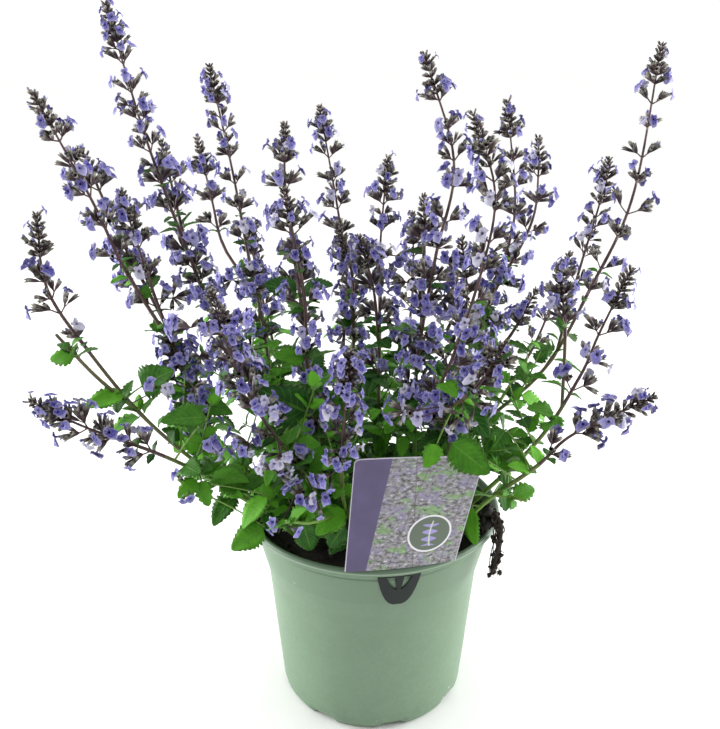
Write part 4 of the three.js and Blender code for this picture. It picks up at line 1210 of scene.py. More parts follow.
def rings_round(axis_places, radii, turns):
    """Rings round the first axis. Turn 0 is up, along the third axis."""
    x = np.broadcast_to(np.asarray(axis_places, float), np.asarray(radii).shape)
    return np.stack([x, radii * np.sin(turns), radii * np.cos(turns)], -1)


def ring_template(rings, run, droop=0.0):
    """Points of the rings, their faces, and the run along the floret that is painted on each."""
    points = np.array(rings)
    points[..., 2] -= droop * np.clip(points[..., 0], 0, None) ** 2
    rows, sides = points.shape[:2]
    return points.reshape(-1, 3), grid_faces(rows, sides, closed=True), np.repeat(run, sides)


def calyx_template(is_open):
    sides = 10 if is_open else 8
    turns = turns_of(sides)
    is_tooth = np.arange(sides) % 2 == 0
    rib = 1 + np.where(is_tooth, 0.1, -0.1)
    if is_open:
        places = [0, 2.4, 6.4, np.where(is_tooth, CALYX_LENGTH + 1.0, CALYX_LENGTH - 0.9)]
        radii = [0.35 * rib, 1.05 * rib, 1.4 * rib, np.where(is_tooth, 1.75, 1.4)]
    else:
        places = [0, 2.2, 5.4, np.where(is_tooth, 8.0, 6.6)]
        radii = [0.35 * rib, 1.05 * rib, 1.35 * rib, np.where(is_tooth, 1.05, 0.95)]
    rings = [rings_round(x, r, turns) for x, r in zip(places, radii)]
    return ring_template(rings, [0, 0.3, 0.75, 1.0], 0.012)


def notch(turns, middle, wide, deep):
    """A cut in the lips at the same distance left and right of the top."""
    return 1 - deep * np.exp(-((turns - middle) / wide) ** 2)


def petal_template(rng):
    turns = turns_of(PETAL_SIDES)
    from_top = np.minimum(turns, FULL_TURN - turns)
    upper = np.clip(np.cos(turns), 0, 1) ** 1.2
    lower = np.clip(-np.cos(turns), 0, 1) ** 0.8
    lip = 2.1 + 2.0 * upper + 3.6 * lower
    upper_cuts = notch(from_top, 0, 0.25, 0.35) * notch(from_top, 1.35, 0.3, 0.45)
    lip *= upper_cuts * notch(from_top, 2.25, 0.22, 0.35)
    lip *= 1 + rng.uniform(-0.24, 0.24, PETAL_SIDES)
    ruffle = rng.normal(0, 0.5, PETAL_SIDES)
    flare = np.radians(66 * upper + 112 * lower + 80 * (1 - upper - lower)) * rng.uniform(0.85, 1.1)
    rings = [rings_round(x, r + 0 * turns, turns) for x, r in ((0.6, 0.55), (TUBE_LENGTH, THROAT))]
    for share in (0.36, 0.7, 1.0):
        angle = flare * (0.5 + 0.55 * share)
        radii = THROAT + lip * share * np.sin(angle) * rng.uniform(0.88, 1.12, PETAL_SIDES)
        crumple = ruffle * share + rng.normal(0, 0.3, PETAL_SIDES)
        rings.append(rings_round(TUBE_LENGTH + lip * share * np.cos(angle) + crumple, radii, turns))
    return ring_template(rings, [0.1, 0.55, 0.7, 0.85, 1.0], 0.02)


template_rng = np.random.default_rng(7)
OPEN_CALYX = calyx_template(True)
SHUT_CALYX = calyx_template(False)
PETALS = [petal_template(template_rng) for _ in range(8)]
# The furled petals at the mouth of a bud that is about to open.
BULB_RINGS = ((6.0, 0.6), (8.2, 0.95), (9.8, 1.15), (10.8, 0.3))
bulb_rings = [rings_round(x, r + 0 * turns_of(6), turns_of(6)) for x, r in BULB_RINGS]
BULB = ring_template(bulb_rings, [0.2, 0.7, 0.9, 1.0])
print("open floret:", 2 * (len(OPEN_CALYX[1]) + len(PETALS[0][1])), "triangles")

# %% [markdown]
# ## Flower spikes
# In each whorl two groups of florets, the cymes, grow from opposite sides of the stem, and the next whorl is
# turned by a right angle. A short stalk carries each calyx, and a narrow leaf stands under the lower cymes.
# Only some florets are open at one time: the rest are buds, or calyces that have dropped their petals.
# Towards the tip the whorls get small and close up into a head of buds. Below the spike they go on in the
# axils of the upper leaves.

# %% Draw a floret and a whorl
CALYX_FINISH = 1
PETAL_FINISH = 2
BRACT_FINISH = 3
USUAL_PALE = 0.17
FLORETS = 6.3
HEAD = 28


def turned(points, origin, axis, up, scale):
    """A template's points, set along an axis with its upper side up."""
    side = np.cross(up, axis)
    return origin + (points * scale) @ np.stack([axis, side, up])


def floret(surface, origin, axis, along, size, state, rng, pale=USUAL_PALE):
    up = along - axis * (along @ axis)
    up = unit(up + 1e-6 * UP)
    calyx, faces, run = SHUT_CALYX if state == "bud" else OPEN_CALYX
    shade = rng.uniform(0, 1)
    surface.add(turned(calyx, origin, axis, up, size), faces, CALYX_FINISH, calyx_run=run, calyx_shade=shade)
    if state == "open":
        nod = unit(axis - up * rng.uniform(-0.1, 0.35))
        rise = unit(up - nod * (up @ nod))
        petals, faces, run = PETALS[rng.integers(len(PETALS))]
        mouth = origin + axis * (CALYX_LENGTH - 2.2) * size
        shade = rng.uniform(0.75, 1.0) if rng.uniform() < pale else rng.uniform(0, 0.7)
        petals = turned(petals, mouth, nod, rise, size * rng.uniform(0.82, 1.1))
    elif state == "bulb":
        bulb, faces, run = BULB
        petals = turned(bulb, origin, axis, up, size)
        shade = rng.uniform(0, 0.5)
    else:
        return
    surface.add(petals, faces, PETAL_FINISH, petal_run=run, petal_shade=shade)


def stalk(surface, start, end, radius):
    rings = tube(np.stack([start, end]), np.full((2, 3), radius), turns_of(3))
    surface.add(rings, grid_faces(2, 3, closed=True), STEM_FINISH, ripeness=0.8)


def whorl(surface, spot, along, turn, size, share, rng, fullness, open_share):
    """Two cymes. Share runs from 0 at the foot of the spike to 1 at its tip."""
    for side in (0, 1):
        middle = turn + side * math.pi
        bract_long = (5 + 9 * max(0, 0.3 - share)) * rng.uniform(0.8, 1.2)
        placed = leaf_frame(spot - along * 2, along, middle, rng.uniform(-0.1, 0.5), RACHIS)
        if share < 0.25:
            shade = rng.uniform(0, 0.4)
            blade(surface, SMALL_BLADE, BRACT_FINISH, placed, bract_long * 1.3, 0.25, rng, shade)
        stalk_long = size * rng.uniform(2.5, 7.5) * (1.15 - 0.6 * share)
        centre = spot + unit(sideways(along, middle) + along * rng.uniform(0.6, 1.4)) * stalk_long
        stalk(surface, spot, centre, 0.55)
        count = int(round(FLORETS * size * fullness + rng.uniform(0, 2.0)))
        for k in range(count):
            spread = 2 * (k + 0.5) / count - 1
            angle = middle + spread * 1.3 + rng.uniform(-0.25, 0.25)
            rise = rng.uniform(0.2, 1.5) + 0.4 * (k % 2)
            out = sideways(along, angle)
            axis = unit(out + along * rise + UP * 0.1)
            foot = centre + out * 0.5 + axis * size * rng.uniform(0.4, 3.6)
            stalk(surface, centre, foot, 0.42)
            draw = rng.uniform()
            state = "open" if draw < open_share else "bulb" if draw < open_share + 0.1 else "bud"
            if state == "bud" and rng.uniform() < 0.5:
                state = "faded"
            floret(surface, foot, axis, along, size * rng.uniform(0.85, 1.05), state, rng)


def head(surface, grown, tip, rng):
    """The tip's head of buds: little whorls that close up towards the end of the rachis."""
    back = rng.uniform(HEAD - 4, HEAD)
    turn = rng.uniform(0, 6)
    while back > 1.2:
        spot, along = fine_place(grown, tip - back)
        count = 5 + int(back / 4)
        for k in range(count):
            size = 0.45 + 0.018 * back
            rise = 0.75 + 5.5 / (back + 2)
            out = sideways(along, turn + back * 2 + k * FULL_TURN / count + rng.uniform(-0.35, 0.35))
            axis = unit(out + along * rise * rng.uniform(0.6, 1.3))
            draw = rng.uniform() * 30 / (back + 4)
            state = "open" if draw < 0.2 else "bulb" if draw < 0.35 else "bud"
            foot = spot + out * 0.3 + axis * size * rng.uniform(0, 2.5)
            stalk(surface, spot, foot, 0.35)
            floret(surface, foot, axis, along, size * rng.uniform(0.85, 1.1), state, rng)
        back -= 2.0 + back * 0.14


# %% Draw a spike
# How full the whorls of a stem are, and which share of their florets is open.
USUAL_BLOOM = (1.0, 0.26)
BLOOM = {9: (0.8, 0.22), 10: (0.75, 0.2), 11: (0.75, 0.22), 12: (0.6, 0.26), 15: (1.0, 0.5), 16: (1.0, 0.5),
         21: (0.7, 0.2)}
LUSH_STEMS = (15, 16)
# On these stems the flowers go on far down, also at the sides of the plant.
LONG_BLOOMING = (1, 2, 4, 15, 16)
# The same two numbers for the whorls below a spike, and the share of their usual distance.
RICH_BELOW = (1, 2, 3, 6, 7, 8, 17, 20)
RICH = (1.7, 0.56, 0.7)
SPARSE = (1.25, 0.46, 1)


def rachis(surface, grown, start, run):
    steps = np.linspace(0, run - 1, max(8, int(run / 6)))
    points = resampled(grown["fine"], (start + steps) * grown["stretching"])
    turns = grown["number"] + turns_of(8)
    outline = 0.93 + 0.14 * np.cos(2 * (turns - grown["number"])) ** 2
    radii = (RACHIS - 0.75 * steps / run)[:, None] * outline[None]
    ripe = np.repeat(0.75 + 0.25 * steps / run, 8)
    faces = grid_faces(len(steps), 8, closed=True)
    surface.add(tube(points, radii, turns), faces, STEM_FINISH, ripeness=ripe)


def spike(surface, grown):
    rng = np.random.default_rng(1000 + grown["number"])
    run = lengths(grown["rachis"])[-1]
    start = grown["bare"] + GAP
    rachis(surface, grown, start, run)
    places = list(grown["whorls"])
    s, size = places[-1]
    while s + 14 < run - HEAD:
        s += 12
        size *= 0.9
        places.append((s, size))
    stem_number = grown["stem"]
    fullness, open_share = BLOOM.get(stem_number, USUAL_BLOOM)
    between_share = 0.9 if stem_number in LUSH_STEMS else 0.4 * fullness

    def add_whorl(s, k, size, share, fullness, open_share):
        turn = grown["number"] + k * math.pi / 2
        whorl(surface, *fine_place(grown, s), turn, size, share, rng, fullness, open_share)

    for k, (s, size) in enumerate(places):
        add_whorl(start + s, k, size, s / run, fullness, open_share)
        if k + 1 < len(places) and rng.uniform() < between_share:
            add_whorl(start + (s + places[k + 1][0]) / 2, k + 0.5, size * 0.85, s / run, 0.6, open_share)
    # The whorls go on below the spike, lowest in the middle of the plant.
    lowest = rng.uniform(212, 248)
    fullness, open_share, nearer = RICH if stem_number in RICH_BELOW else SPARSE
    s = grown["bare"] - 19.0
    k = 1
    while s > 30:
        spot = fine_place(grown, s)[0]
        if spot[2] < lowest + (0 if stem_number in LONG_BLOOMING else 1.1 * max(0, abs(spot[0]) - 75)):
            break
        if rng.uniform() < 0.92:
            add_whorl(s, k, rng.uniform(0.85, 1.05), 0.0, fullness, open_share)
        s -= rng.uniform(14, 21) * nearer
        k += 1
    head(surface, grown, start + run, rng)


# %% [markdown]
# ## Cymes given one by one, and the pieces
# Some groups of florets stand off from the whorls, and among them are pale ones that catch the eye. A thin
# stalk joins each to its shoot. Then one piece holds all the flowers of a shoot.

# %% Make the spikes
# By shoot: the cyme's place, its number of florets, and the share of pale ones.
LOOSE_CYMES = {
    1: [(-116, 6, 312, 8, 0.1)],
    3: [(-118, -31, 283, 9, 0.1), (-132, -35, 325, 7, 0.1), (-120, -48, 267, 5, 0.0)],
    6: [(-93, 50, 258, 8, 0.1)],
    7: [(-107, 64, 310, 8, 0.1), (-89, 56, 304, 8, 0.1)],
    8: [(-44, -53, 296, 7, 0.1)],
    10: [(-11, 61, 257, 6, 0.1)],
    11: [(-21, 57, 272, 7, 0.1)],
    12: [(16, 27, 338, 8, 0.1), (9, 21, 291, 8, 0.1)],
    14: [(47, -31, 348, 10, 0.1), (30, -30, 323, 10, 0.1), (45, -30, 322, 10, 0.2)],
    15: [(22, -8, 328, 10, 0.1), (34, -29, 297, 7, 0.1)],
    16: [(53, -77, 294, 6, 0.2)],
    17: [(28, -90, 264, 3, 1.0), (18, -92, 269, 6, 0.1), (61, -95, 275, 4, 0.3), (54, -94, 267, 4, 1.0)],
    18: [(96, 70, 314, 8, 0.1), (95, 66, 278, 7, 0.1)],
    19: [(104, 76, 303, 8, 0.1)],
    24: [(-140, -64, 272, 7, 0.2)],
    26: [(-109, -84, 239, 6, 0.1), (-122, -84, 213, 3, 0.2)],
    29: [(-107, -109, 329, 12, 0.0), (-84, -111, 336, 12, 0.0), (-60, -94, 241, 9, 0.95),
         (-63, -97, 231, 6, 0.95), (-68, -94, 270, 5, 0.8), (-46, -98, 211, 7, 0.4), (-36, -97, 207, 4, 0.2),
         (-59, -100, 196, 5, 0.1), (-79, -90, 246, 5, 0.1)],
    30: [(-22, -100, 242, 5, 0.0), (-28, -98, 228, 5, 0.0)],
    32: [(58, -5, 329, 12, 0.1), (55, -8, 303, 8, 0.8), (74, -6, 286, 8, 0.1)],
}


def loose_cyme(surface, grown, place, count, pale, rng):
    spot = nearest_on(grown["fine"], place)
    stalk(surface, spot, place, 0.55)
    outward = unit((place - spot) * (1, 1, 0.3))
    for _ in range(count):
        axis = unit(outward + rng.normal(0, 0.6, 3) + UP * 0.3)
        size = rng.uniform(0.85, 1.05)
        foot = place + axis * size * rng.uniform(0.4, 3.6)
        stalk(surface, place, foot, 0.42)
        state = "open" if rng.uniform() < 0.72 else "faded"
        floret(surface, foot, axis, UP, size, state, rng, pale)


for spike_number, grown in enumerate(flowering, start=1):
    surface = Surface()
    spike(surface, grown)
    rng = np.random.default_rng(1500 + grown["number"])
    for *place, count, pale in LOOSE_CYMES.get(grown["number"], ()):
        loose_cyme(surface, grown, np.array(place, float), count, pale, rng)
    total_triangles += surface.make(
        f"flower_spike_{spike_number:02d}", [stem_skin, calyx_skin, petal_skin, leaf_skin],
        f"spike_{spike_number:02d}")
print(total_triangles, "triangles in the plant")

# %% [markdown]
# ## The pot
# A nursery pot is moulded in one thin wall and turned about one axis, so its shape is an outline spun round.
# Every corner of a moulded part is rounded, and the outline gets a small arc in place of each corner. The
# drain notches are pressed up into the base ring and in through the foot of the wall, with slanting sides,
# and a slot under the lip takes the label's tongue.

# %% Draw an outline with rounded corners
def rounded(outline, cuts=3):
    """Replaces each corner (radius, height, rounding) by an arc of a few points."""
    places = [np.array(corner[:2], float) for corner in outline]
    points = [places[0]]
    for before, corner, after, (_, _, rounding) in zip(places, places[1:], places[2:], outline[1:-1]):
        back, on = before - corner, after - corner
        reach = min(rounding, 0.45 * np.linalg.norm(back), 0.45 * np.linalg.norm(on))
        start, end = corner + unit(back) * reach, corner + unit(on) * reach
        for t in np.linspace(0, 1, cuts + 1):
            points.append((1 - t) ** 2 * start + 2 * t * (1 - t) * corner + t * t * end)
    return np.array([*points, places[-1]])


# %% Make the pot
WALL = 1.8
FLOOR_TOP = 5
WALL_FOOT_RADIUS = 70.5
INNER_FOOT_RADIUS = 68.2
BASE_RADIUS = 67
BASE_RECESS = 2.6
DRAIN_COUNT = 8
DRAIN_WIDTH = 17
DRAIN_HEIGHT = 5
DRAIN_TURN = -1.36
LABEL_SHEET = 0.9
TONGUE_WIDTH = 30
TONGUE_LENGTH = 27
LIP_HEIGHT = 4.6
LIP_FOOT_Z = POT_HEIGHT - LIP_HEIGHT
INNER_LIP_Z = 152
COLLAR_FOOT_RADIUS = 80
COLLAR_FOOT_Z = 107
SLOT_Z = LIP_FOOT_Z - 2.3
NOTCH_TOP = 9.3
NOTCH_RADIUS = 68.4
LONG_STRETCH = 14
CUT_LENGTH = 13
SHARP_ANGLE = math.radians(40)

pot_outline = rounded([
    (0, 0, 0), (26, 0, 0.8), (28, BASE_RECESS, 0.8), (54, BASE_RECESS, 0.8), (56, 0, 0.8),
    (BASE_RADIUS, 0, 1.2), (WALL_FOOT_RADIUS, 6, 1.5), (WALL_FOOT_RADIUS + 0.3, NOTCH_TOP, 0.2),
    (COLLAR_FOOT_RADIUS - 0.4, COLLAR_FOOT_Z - 0.5, 3.5),
    (88.7, 143.2, 0.4), (88.3, 144, 0.3), (88.6, 145, 0.3), (89.4, 146, 0.4),
    (COLLAR_TOP_RADIUS, LIP_FOOT_Z, 0.5), (LIP_RADIUS - 0.4, LIP_FOOT_Z, 0.6), (LIP_RADIUS, 153.8, 1.0),
    (LIP_RADIUS - 1.6, POT_HEIGHT, 1.0), (LIP_RADIUS - 3, POT_HEIGHT, 0.6),
    (COLLAR_TOP_RADIUS - WALL, INNER_LIP_Z, 1.2), (COLLAR_FOOT_RADIUS - WALL, COLLAR_FOOT_Z, 1),
    (INNER_FOOT_RADIUS, FLOOR_TOP, 1.5), (0, FLOOR_TOP, 0),
])
# A long stretch of the outline gets points between its ends, so that the notches have soft sides.
stretches = []
for start, end in zip(pot_outline[:-1], pot_outline[1:]):
    long = np.linalg.norm(end - start)
    cuts = 1 + int(long / CUT_LENGTH) if long > LONG_STRETCH else 1
    stretches.append(np.linspace(start, end, cuts, endpoint=False))
pot_outline = np.vstack([*stretches, pot_outline[-1:]])

half_notch = DRAIN_WIDTH / 2 / BASE_RADIUS
notch_middles = DRAIN_TURN + turns_of(DRAIN_COUNT)
edges = [middle + side * half_notch * width
         for middle in notch_middles for side in (-1, 1) for width in (0.7, 0.97, 1.25)]
pot_turns = np.unique(np.round(np.concatenate([turns_of(96), np.mod(edges, FULL_TURN)]), 5))
from_notch = np.abs(np.mod(pot_turns[:, None] - notch_middles + math.pi, FULL_TURN) - math.pi).min(1)
pressed = np.clip((1.25 - from_notch / half_notch) / 0.55, 0, 1)

out = pot_outline[1:-1, 0][:, None] + 0 * pot_turns
height = pot_outline[1:-1, 1][:, None] + 0 * pot_turns
rows, columns = out.shape
is_outside = np.arange(rows)[:, None] < rows // 2
is_base_ring = (out > 54.5) & (height < NOTCH_TOP - 0.3) & is_outside
height = np.where(is_base_ring, height + (DRAIN_HEIGHT - 0.3 - height) * pressed, height)
out = np.where(is_base_ring, out + np.minimum(0, NOTCH_RADIUS - out) * pressed, out)
rings = np.stack([out * np.cos(pot_turns), out * np.sin(pot_turns), height], -1).reshape(-1, 3)
pot_surface = Surface()
pot_surface.add(np.vstack([rings, (0, 0, 0), (0, 0, FLOOR_TOP)]), capped_faces(rows, columns))
print("pot wall:", rows, "rings of", columns, "points")

# %% [markdown]
# ## Sage green plastic
# The pot is moulded from a matt, pale sage green plastic. Its colour is a little cloudy, with fine grain and
# a few pale specks, and soil has rubbed into the lowest band. Its upper wall and collar are painted a little
# darker, as painted shade. The rim's upper side is darkened as painted shade of the leaves above, and a pale
# painted highlight runs round its edge. The label's slot is a plain box that is cut out of the wall, as the
# mould has it.

# %% Finish the pot
BOX_CORNERS = [(x, y, z) for z in (-1, 1) for y in (-1, 1) for x in (-1, 1)]
BOX_FACES = [(0, 2, 3, 1), (4, 5, 7, 6), (0, 1, 5, 4), (2, 6, 7, 3), (0, 4, 6, 2), (1, 3, 7, 5)]

pot_plastic = Finish("pot_plastic")
pot_place = pot_plastic.node("TexCoord", output=3)
pot_height = pot_plastic.node("SeparateXYZ", sockets={0: pot_place}, output=2)
cloud = pot_plastic.noise(14.0, 4.0)
speckle = pot_plastic.noise(900.0, 2.0)
grain = pot_plastic.noise(260.0, 5.0)
# Painted highlight: a pale band round the lip's front, where light catches its edge.
painted_rim_highlight = pot_height.ramp(0.1514, 0.1519) - pot_height.ramp(0.1522, 0.1526)
specks = pot_plastic.node("TexVoronoi", sockets={"Vector": pot_place, "Scale": 75.0})
light_specks = (1 - specks.ramp(0.05, 0.11)) * pot_plastic.noise(24.0, 2.0).ramp(0.56, 0.66)
dust_edge = pot_height + (pot_plastic.noise(55.0, 5.0) - 0.5) * 0.03
dirt = (1 - dust_edge.ramp(0.0, 0.022)) * grain.ramp(0.35, 0.6)
sage = pot_plastic.layers(
    (111, 137, 110),
    (cloud.ramp(0.3, 0.7), (119, 145, 118)),
    (grain.ramp(0.35, 0.7) * 0.3, (104, 130, 106)),
    (speckle.ramp(0.4, 0.75) * 0.22, (90, 112, 90)),
    # Painted shade: the upper wall and the collar are painted a little darker.
    (pot_height.ramp(0.09, 0.125) * 0.5, (103, 128, 103)),
    # Painted shade: the collar is a little darker above a height of 121 mm, at a crease the outline lacks.
    (pot_height.ramp(0.1206, 0.1216) * 0.25, (94, 118, 94)),
    # Painted shade: the rim's upper side and the top of its front are darkened, as the leaves above shade
    # them.
    (pot_height.ramp(0.1524, 0.153) * 0.6, (78, 99, 80)),
    (painted_rim_highlight * 0.25, (206, 222, 206)),
    (light_specks * 0.6, (214, 226, 210)),
    (dirt * 0.15, (84, 98, 80)),
)
pot_roughness = cloud * 0.12 + speckle * 0.1 + 0.33
pot_plastic.coat(sage, pot_roughness, speckle + grain * 0.8 + light_specks, 0.0002, 0.35)


def cut_slot(piece):
    """Cuts the label's slot, a turned box, out of the pot's wall."""
    size = (14, TONGUE_WIDTH + 2 * GAP, LABEL_SHEET + 2 * GAP)
    mesh = bpy.data.meshes.new("cutter")
    mesh.from_pydata([Vector(corner) for corner in np.array(BOX_CORNERS) * size / 2 * MM], [], BOX_FACES)
    cutter = set_out("cutter", mesh)
    cutter.location = Vector(facing(COLLAR_TOP_RADIUS - 1, 0, SLOT_Z + LABEL_SHEET / 2)) * MM
    cutter.rotation_euler = (0, 0, LABEL_TURN)
    cut = piece.modifiers.new("slot", "BOOLEAN")
    cut.object = cutter
    cut.operation = "DIFFERENCE"
    cut.solver = "EXACT"
    evaluated = piece.evaluated_get(bpy.context.evaluated_depsgraph_get())
    carved = bpy.data.meshes.new_from_object(evaluated)
    piece.modifiers.clear()
    piece.data = carved
    bpy.data.objects.remove(cutter)


pot_surface.make("nursery_pot", [pot_plastic], "pot", SHARP_ANGLE, carve=cut_slot)

# %% [markdown]
# ## Potting soil
# The root ball fills the pot and its top is crumbly peat. A disc of rings with noise gives the uneven
# surface, and separate crumbs lie on it, because peat is made of such bits and they catch the light.

# %% Make the soil
SOIL_TURNS = 96
SOIL_RINGS = 44
SOIL_CRUMBS = 330
# The height and length of the soil's waves. Each comes twice, in two directions.
WAVE_SIZES = ((0.9, 60), (0.8, 37), (0.6, 22), (0.5, 13), (0.45, 9), (0.4, 6.5), (0.35, 5))
BALL_TURNS = turns_of(7)
BALL_RISES = np.radians((-58, -20, 20, 58))[:, None]

soil_rng = np.random.default_rng(21)
waves = [(size, long * soil_rng.uniform(0.8, 1.25), soil_rng.uniform(0, math.pi), soil_rng.uniform(0, 6))
         for size, long in WAVE_SIZES for _ in (0, 1)]


def inner_radius(z):
    knee = COLLAR_FOOT_RADIUS - WALL
    rim = COLLAR_TOP_RADIUS - WALL
    return np.interp(z, [FLOOR_TOP, COLLAR_FOOT_Z, INNER_LIP_Z], [INNER_FOOT_RADIUS, knee, rim])


def soil_height(x, y):
    """The soil's top: smooth waves, a raised edge and a mound at the dry root."""
    lumps = sum(size * np.sin((x * math.cos(turn) + y * math.sin(turn)) * FULL_TURN / long + phase)
                for size, long, turn, phase in waves)
    edge = np.clip((np.hypot(x, y) - 70) / 16, 0, 1)
    mound = 9 * np.exp(-(np.hypot(x - 70, y + 38) / 13) ** 2)
    return SOIL_TOP - 0.5 + lumps * 0.75 + 1.2 * edge + mound


def crumb(surface, middle, size, tint, rng):
    """A small rough lump: four rings of points with uneven radii between two end points."""
    reach = size * rng.uniform(0.7, 1.15, (4, 7))
    ball = np.stack([np.cos(BALL_RISES) * np.cos(BALL_TURNS), np.cos(BALL_RISES) * np.sin(BALL_TURNS),
                     np.sin(BALL_RISES) + 0 * BALL_TURNS], -1) * reach[..., None] * rng.uniform(0.7, 1.3, 3)
    ends = np.array([(0, 0, -0.85 * size), (0, 0, 0.85 * size)])
    surface.add(np.vstack([ball.reshape(-1, 3), ends]) + middle, capped_faces(4, 7), soil_tint=tint)


turns = turns_of(SOIL_TURNS)
side_levels = np.array([FLOOR_TOP + GAP, FLOOR_TOP + 3, 40, 75, COLLAR_FOOT_Z, 125, SOIL_TOP - 4])
side_radii = inner_radius(side_levels) - 0.7
side_radii[0] -= 2
side = np.stack([side_radii[:, None] * np.cos(turns), side_radii[:, None] * np.sin(turns),
                 side_levels[:, None] + 0 * turns], -1)
top_radii = np.linspace(inner_radius(SOIL_TOP) - 1.0, 2, SOIL_RINGS)[:, None]
top_radii = top_radii + soil_rng.uniform(-0.4, 0.2, (SOIL_RINGS, SOIL_TURNS))
x, y = top_radii * np.cos(turns), top_radii * np.sin(turns)
grainy = soil_height(x, y) + soil_rng.normal(0, 0.35, x.shape)
grid = np.concatenate([side, np.stack([x, y, grainy], -1)])
soil_surface = Surface()
soil_surface.add(
    np.vstack([grid.reshape(-1, 3), (0, 0, FLOOR_TOP + GAP), (0, 0, SOIL_TOP)]),
    capped_faces(len(grid), SOIL_TURNS),
    soil_tint=0.3,
)
for _ in range(SOIL_CRUMBS):
    out = inner_radius(SOIL_TOP) * math.sqrt(soil_rng.uniform(0.02, 0.92))
    turn = soil_rng.uniform(0, FULL_TURN)
    x, y = out * math.cos(turn), out * math.sin(turn)
    size = 0.7 + 1.7 * soil_rng.uniform() ** 2
    middle = np.array((x, y, soil_height(x, y) + 0.2 * size))
    crumb(soil_surface, middle, size, soil_rng.uniform(0, 1) ** 2, soil_rng)

peat = Finish("peat")
peat_grain = peat.noise(320.0, 6.0)
peat_light = peat.painted("soil_tint") * 0.7 + (peat_grain - 0.5) * 0.9
peat_tone = peat.layers((16, 13, 11), (peat_light.ramp(0.0, 1.0), (66, 52, 42)))
peat.coat(peat_tone, peat_grain * 0.15 + 0.82, peat_grain, 0.001, 0.8)
soil_surface.make("potting_soil", [peat], "soil")

# %% [markdown]
# ## The plant label
# A printed card of thin plastic stands on the rim. It bows a little at its foot, leans out and twists towards
# its top, so it is a grid of points on two sides. Where the card has its maker's print, this one has a plain
# design of its own: a purple ground, a slanting meadow field and a ringed sprig.

# %% Make the label's sheet
LABEL_CORNER = 3
LABEL_TALL = LABEL_TOP_Z - LABEL_FOOT_Z
# The print's coordinates run from a line just left of the card.
PRINT_ORIGIN = 40


def label_half_width(z):
    share = (z - LABEL_FOOT_Z) / LABEL_TALL
    half = (LABEL_FOOT_WIDTH + (LABEL_TOP_WIDTH - LABEL_FOOT_WIDTH) * share) / 2
    above = np.clip((z - (LABEL_TOP_Z - LABEL_CORNER)) / LABEL_CORNER, 0, 1)
    return half - LABEL_CORNER * (1 - np.sqrt(np.clip(1 - above ** 2, 0, 1)))


straight = np.linspace(LABEL_FOOT_Z, LABEL_TOP_Z - LABEL_CORNER, 26)
corner_steps = np.sin(np.linspace(0, math.pi / 2, 9)[1:])
levels = np.concatenate([straight, LABEL_TOP_Z - LABEL_CORNER + LABEL_CORNER * corner_steps])
shares = np.linspace(-1, 1, 41)
half = label_half_width(levels)[:, None]
across = half * shares
z = levels[:, None] + 0 * shares
front = label_point(across, z, 0)
back = label_point(across, z, -LABEL_SHEET)
card = Surface()
card.add(
    np.concatenate([front.reshape(-1, 3), back.reshape(-1, 3)]),
    plate_faces(np.full((len(levels) - 1, len(shares) - 1), True)),
    0,
    print_x=np.tile((across + PRINT_ORIGIN).ravel(), 2),
    print_y=np.tile((z - LABEL_FOOT_Z).ravel(), 2),
    print_edge=np.tile(np.minimum(half - np.abs(across), LABEL_TOP_Z - z).ravel(), 2),
    print_front=np.repeat([1.0, 0.0], z.size),
)

# %% [markdown]
# ## The label's tongue
# A black strap leaves the card's back, runs down inside the lip and out through the slot, and its tongue
# bends down and holds the card against the collar. Two leaf-shaped gaps near the slot let it spring. It is a
# grid of rows from the card down to the tip. Its columns follow the outline and the edges of the gaps, and
# the cells in the gaps are left out.

# %% Make the tongue
GAP_END = 0.47
STRAP_OUT = 86.5
TONGUE_BOW = 0.0057
SLOT_TOP = SLOT_Z + LABEL_SHEET
# The strap's first rows, each as distance from the pot's axis and height: on its front and on its back.
STRAP_ROWS = (
    ((LABEL_FOOT_OUT - 0.3, LABEL_FOOT_Z + 1.8), (LABEL_FOOT_OUT - 0.6, LABEL_FOOT_Z + 2.7)),
    ((STRAP_OUT + LABEL_SHEET, SLOT_Z + 3.8), (STRAP_OUT, SLOT_Z + 4.3)),
    ((STRAP_OUT + LABEL_SHEET, SLOT_TOP), (STRAP_OUT, SLOT_Z)),
)


def collar_radius(z):
    slope = (COLLAR_TOP_RADIUS - COLLAR_FOOT_RADIUS) / (LIP_FOOT_Z - COLLAR_FOOT_Z)
    return COLLAR_TOP_RADIUS - slope * (LIP_FOOT_Z - z)


def tongue_edges(t):
    """Places across the tongue of its own edge and of the two edges of a gap, at a share of its length."""
    edge = TONGUE_WIDTH / 2 * (1 - t ** 1.1) ** 0.36
    if t < GAP_END:
        closing = min(1.0, abs(t - GAP_END) / GAP_END)
        return edge, 1.5 + 8.0 * closing ** 0.6, max(1.35 + 2.1 * closing ** 0.9, 0.3)
    closing = 0.25 * (t - GAP_END)
    return edge, min(1.5 + 4 * closing, edge * 0.6), max(min(1.35 - closing, edge * 0.3), 0.3)


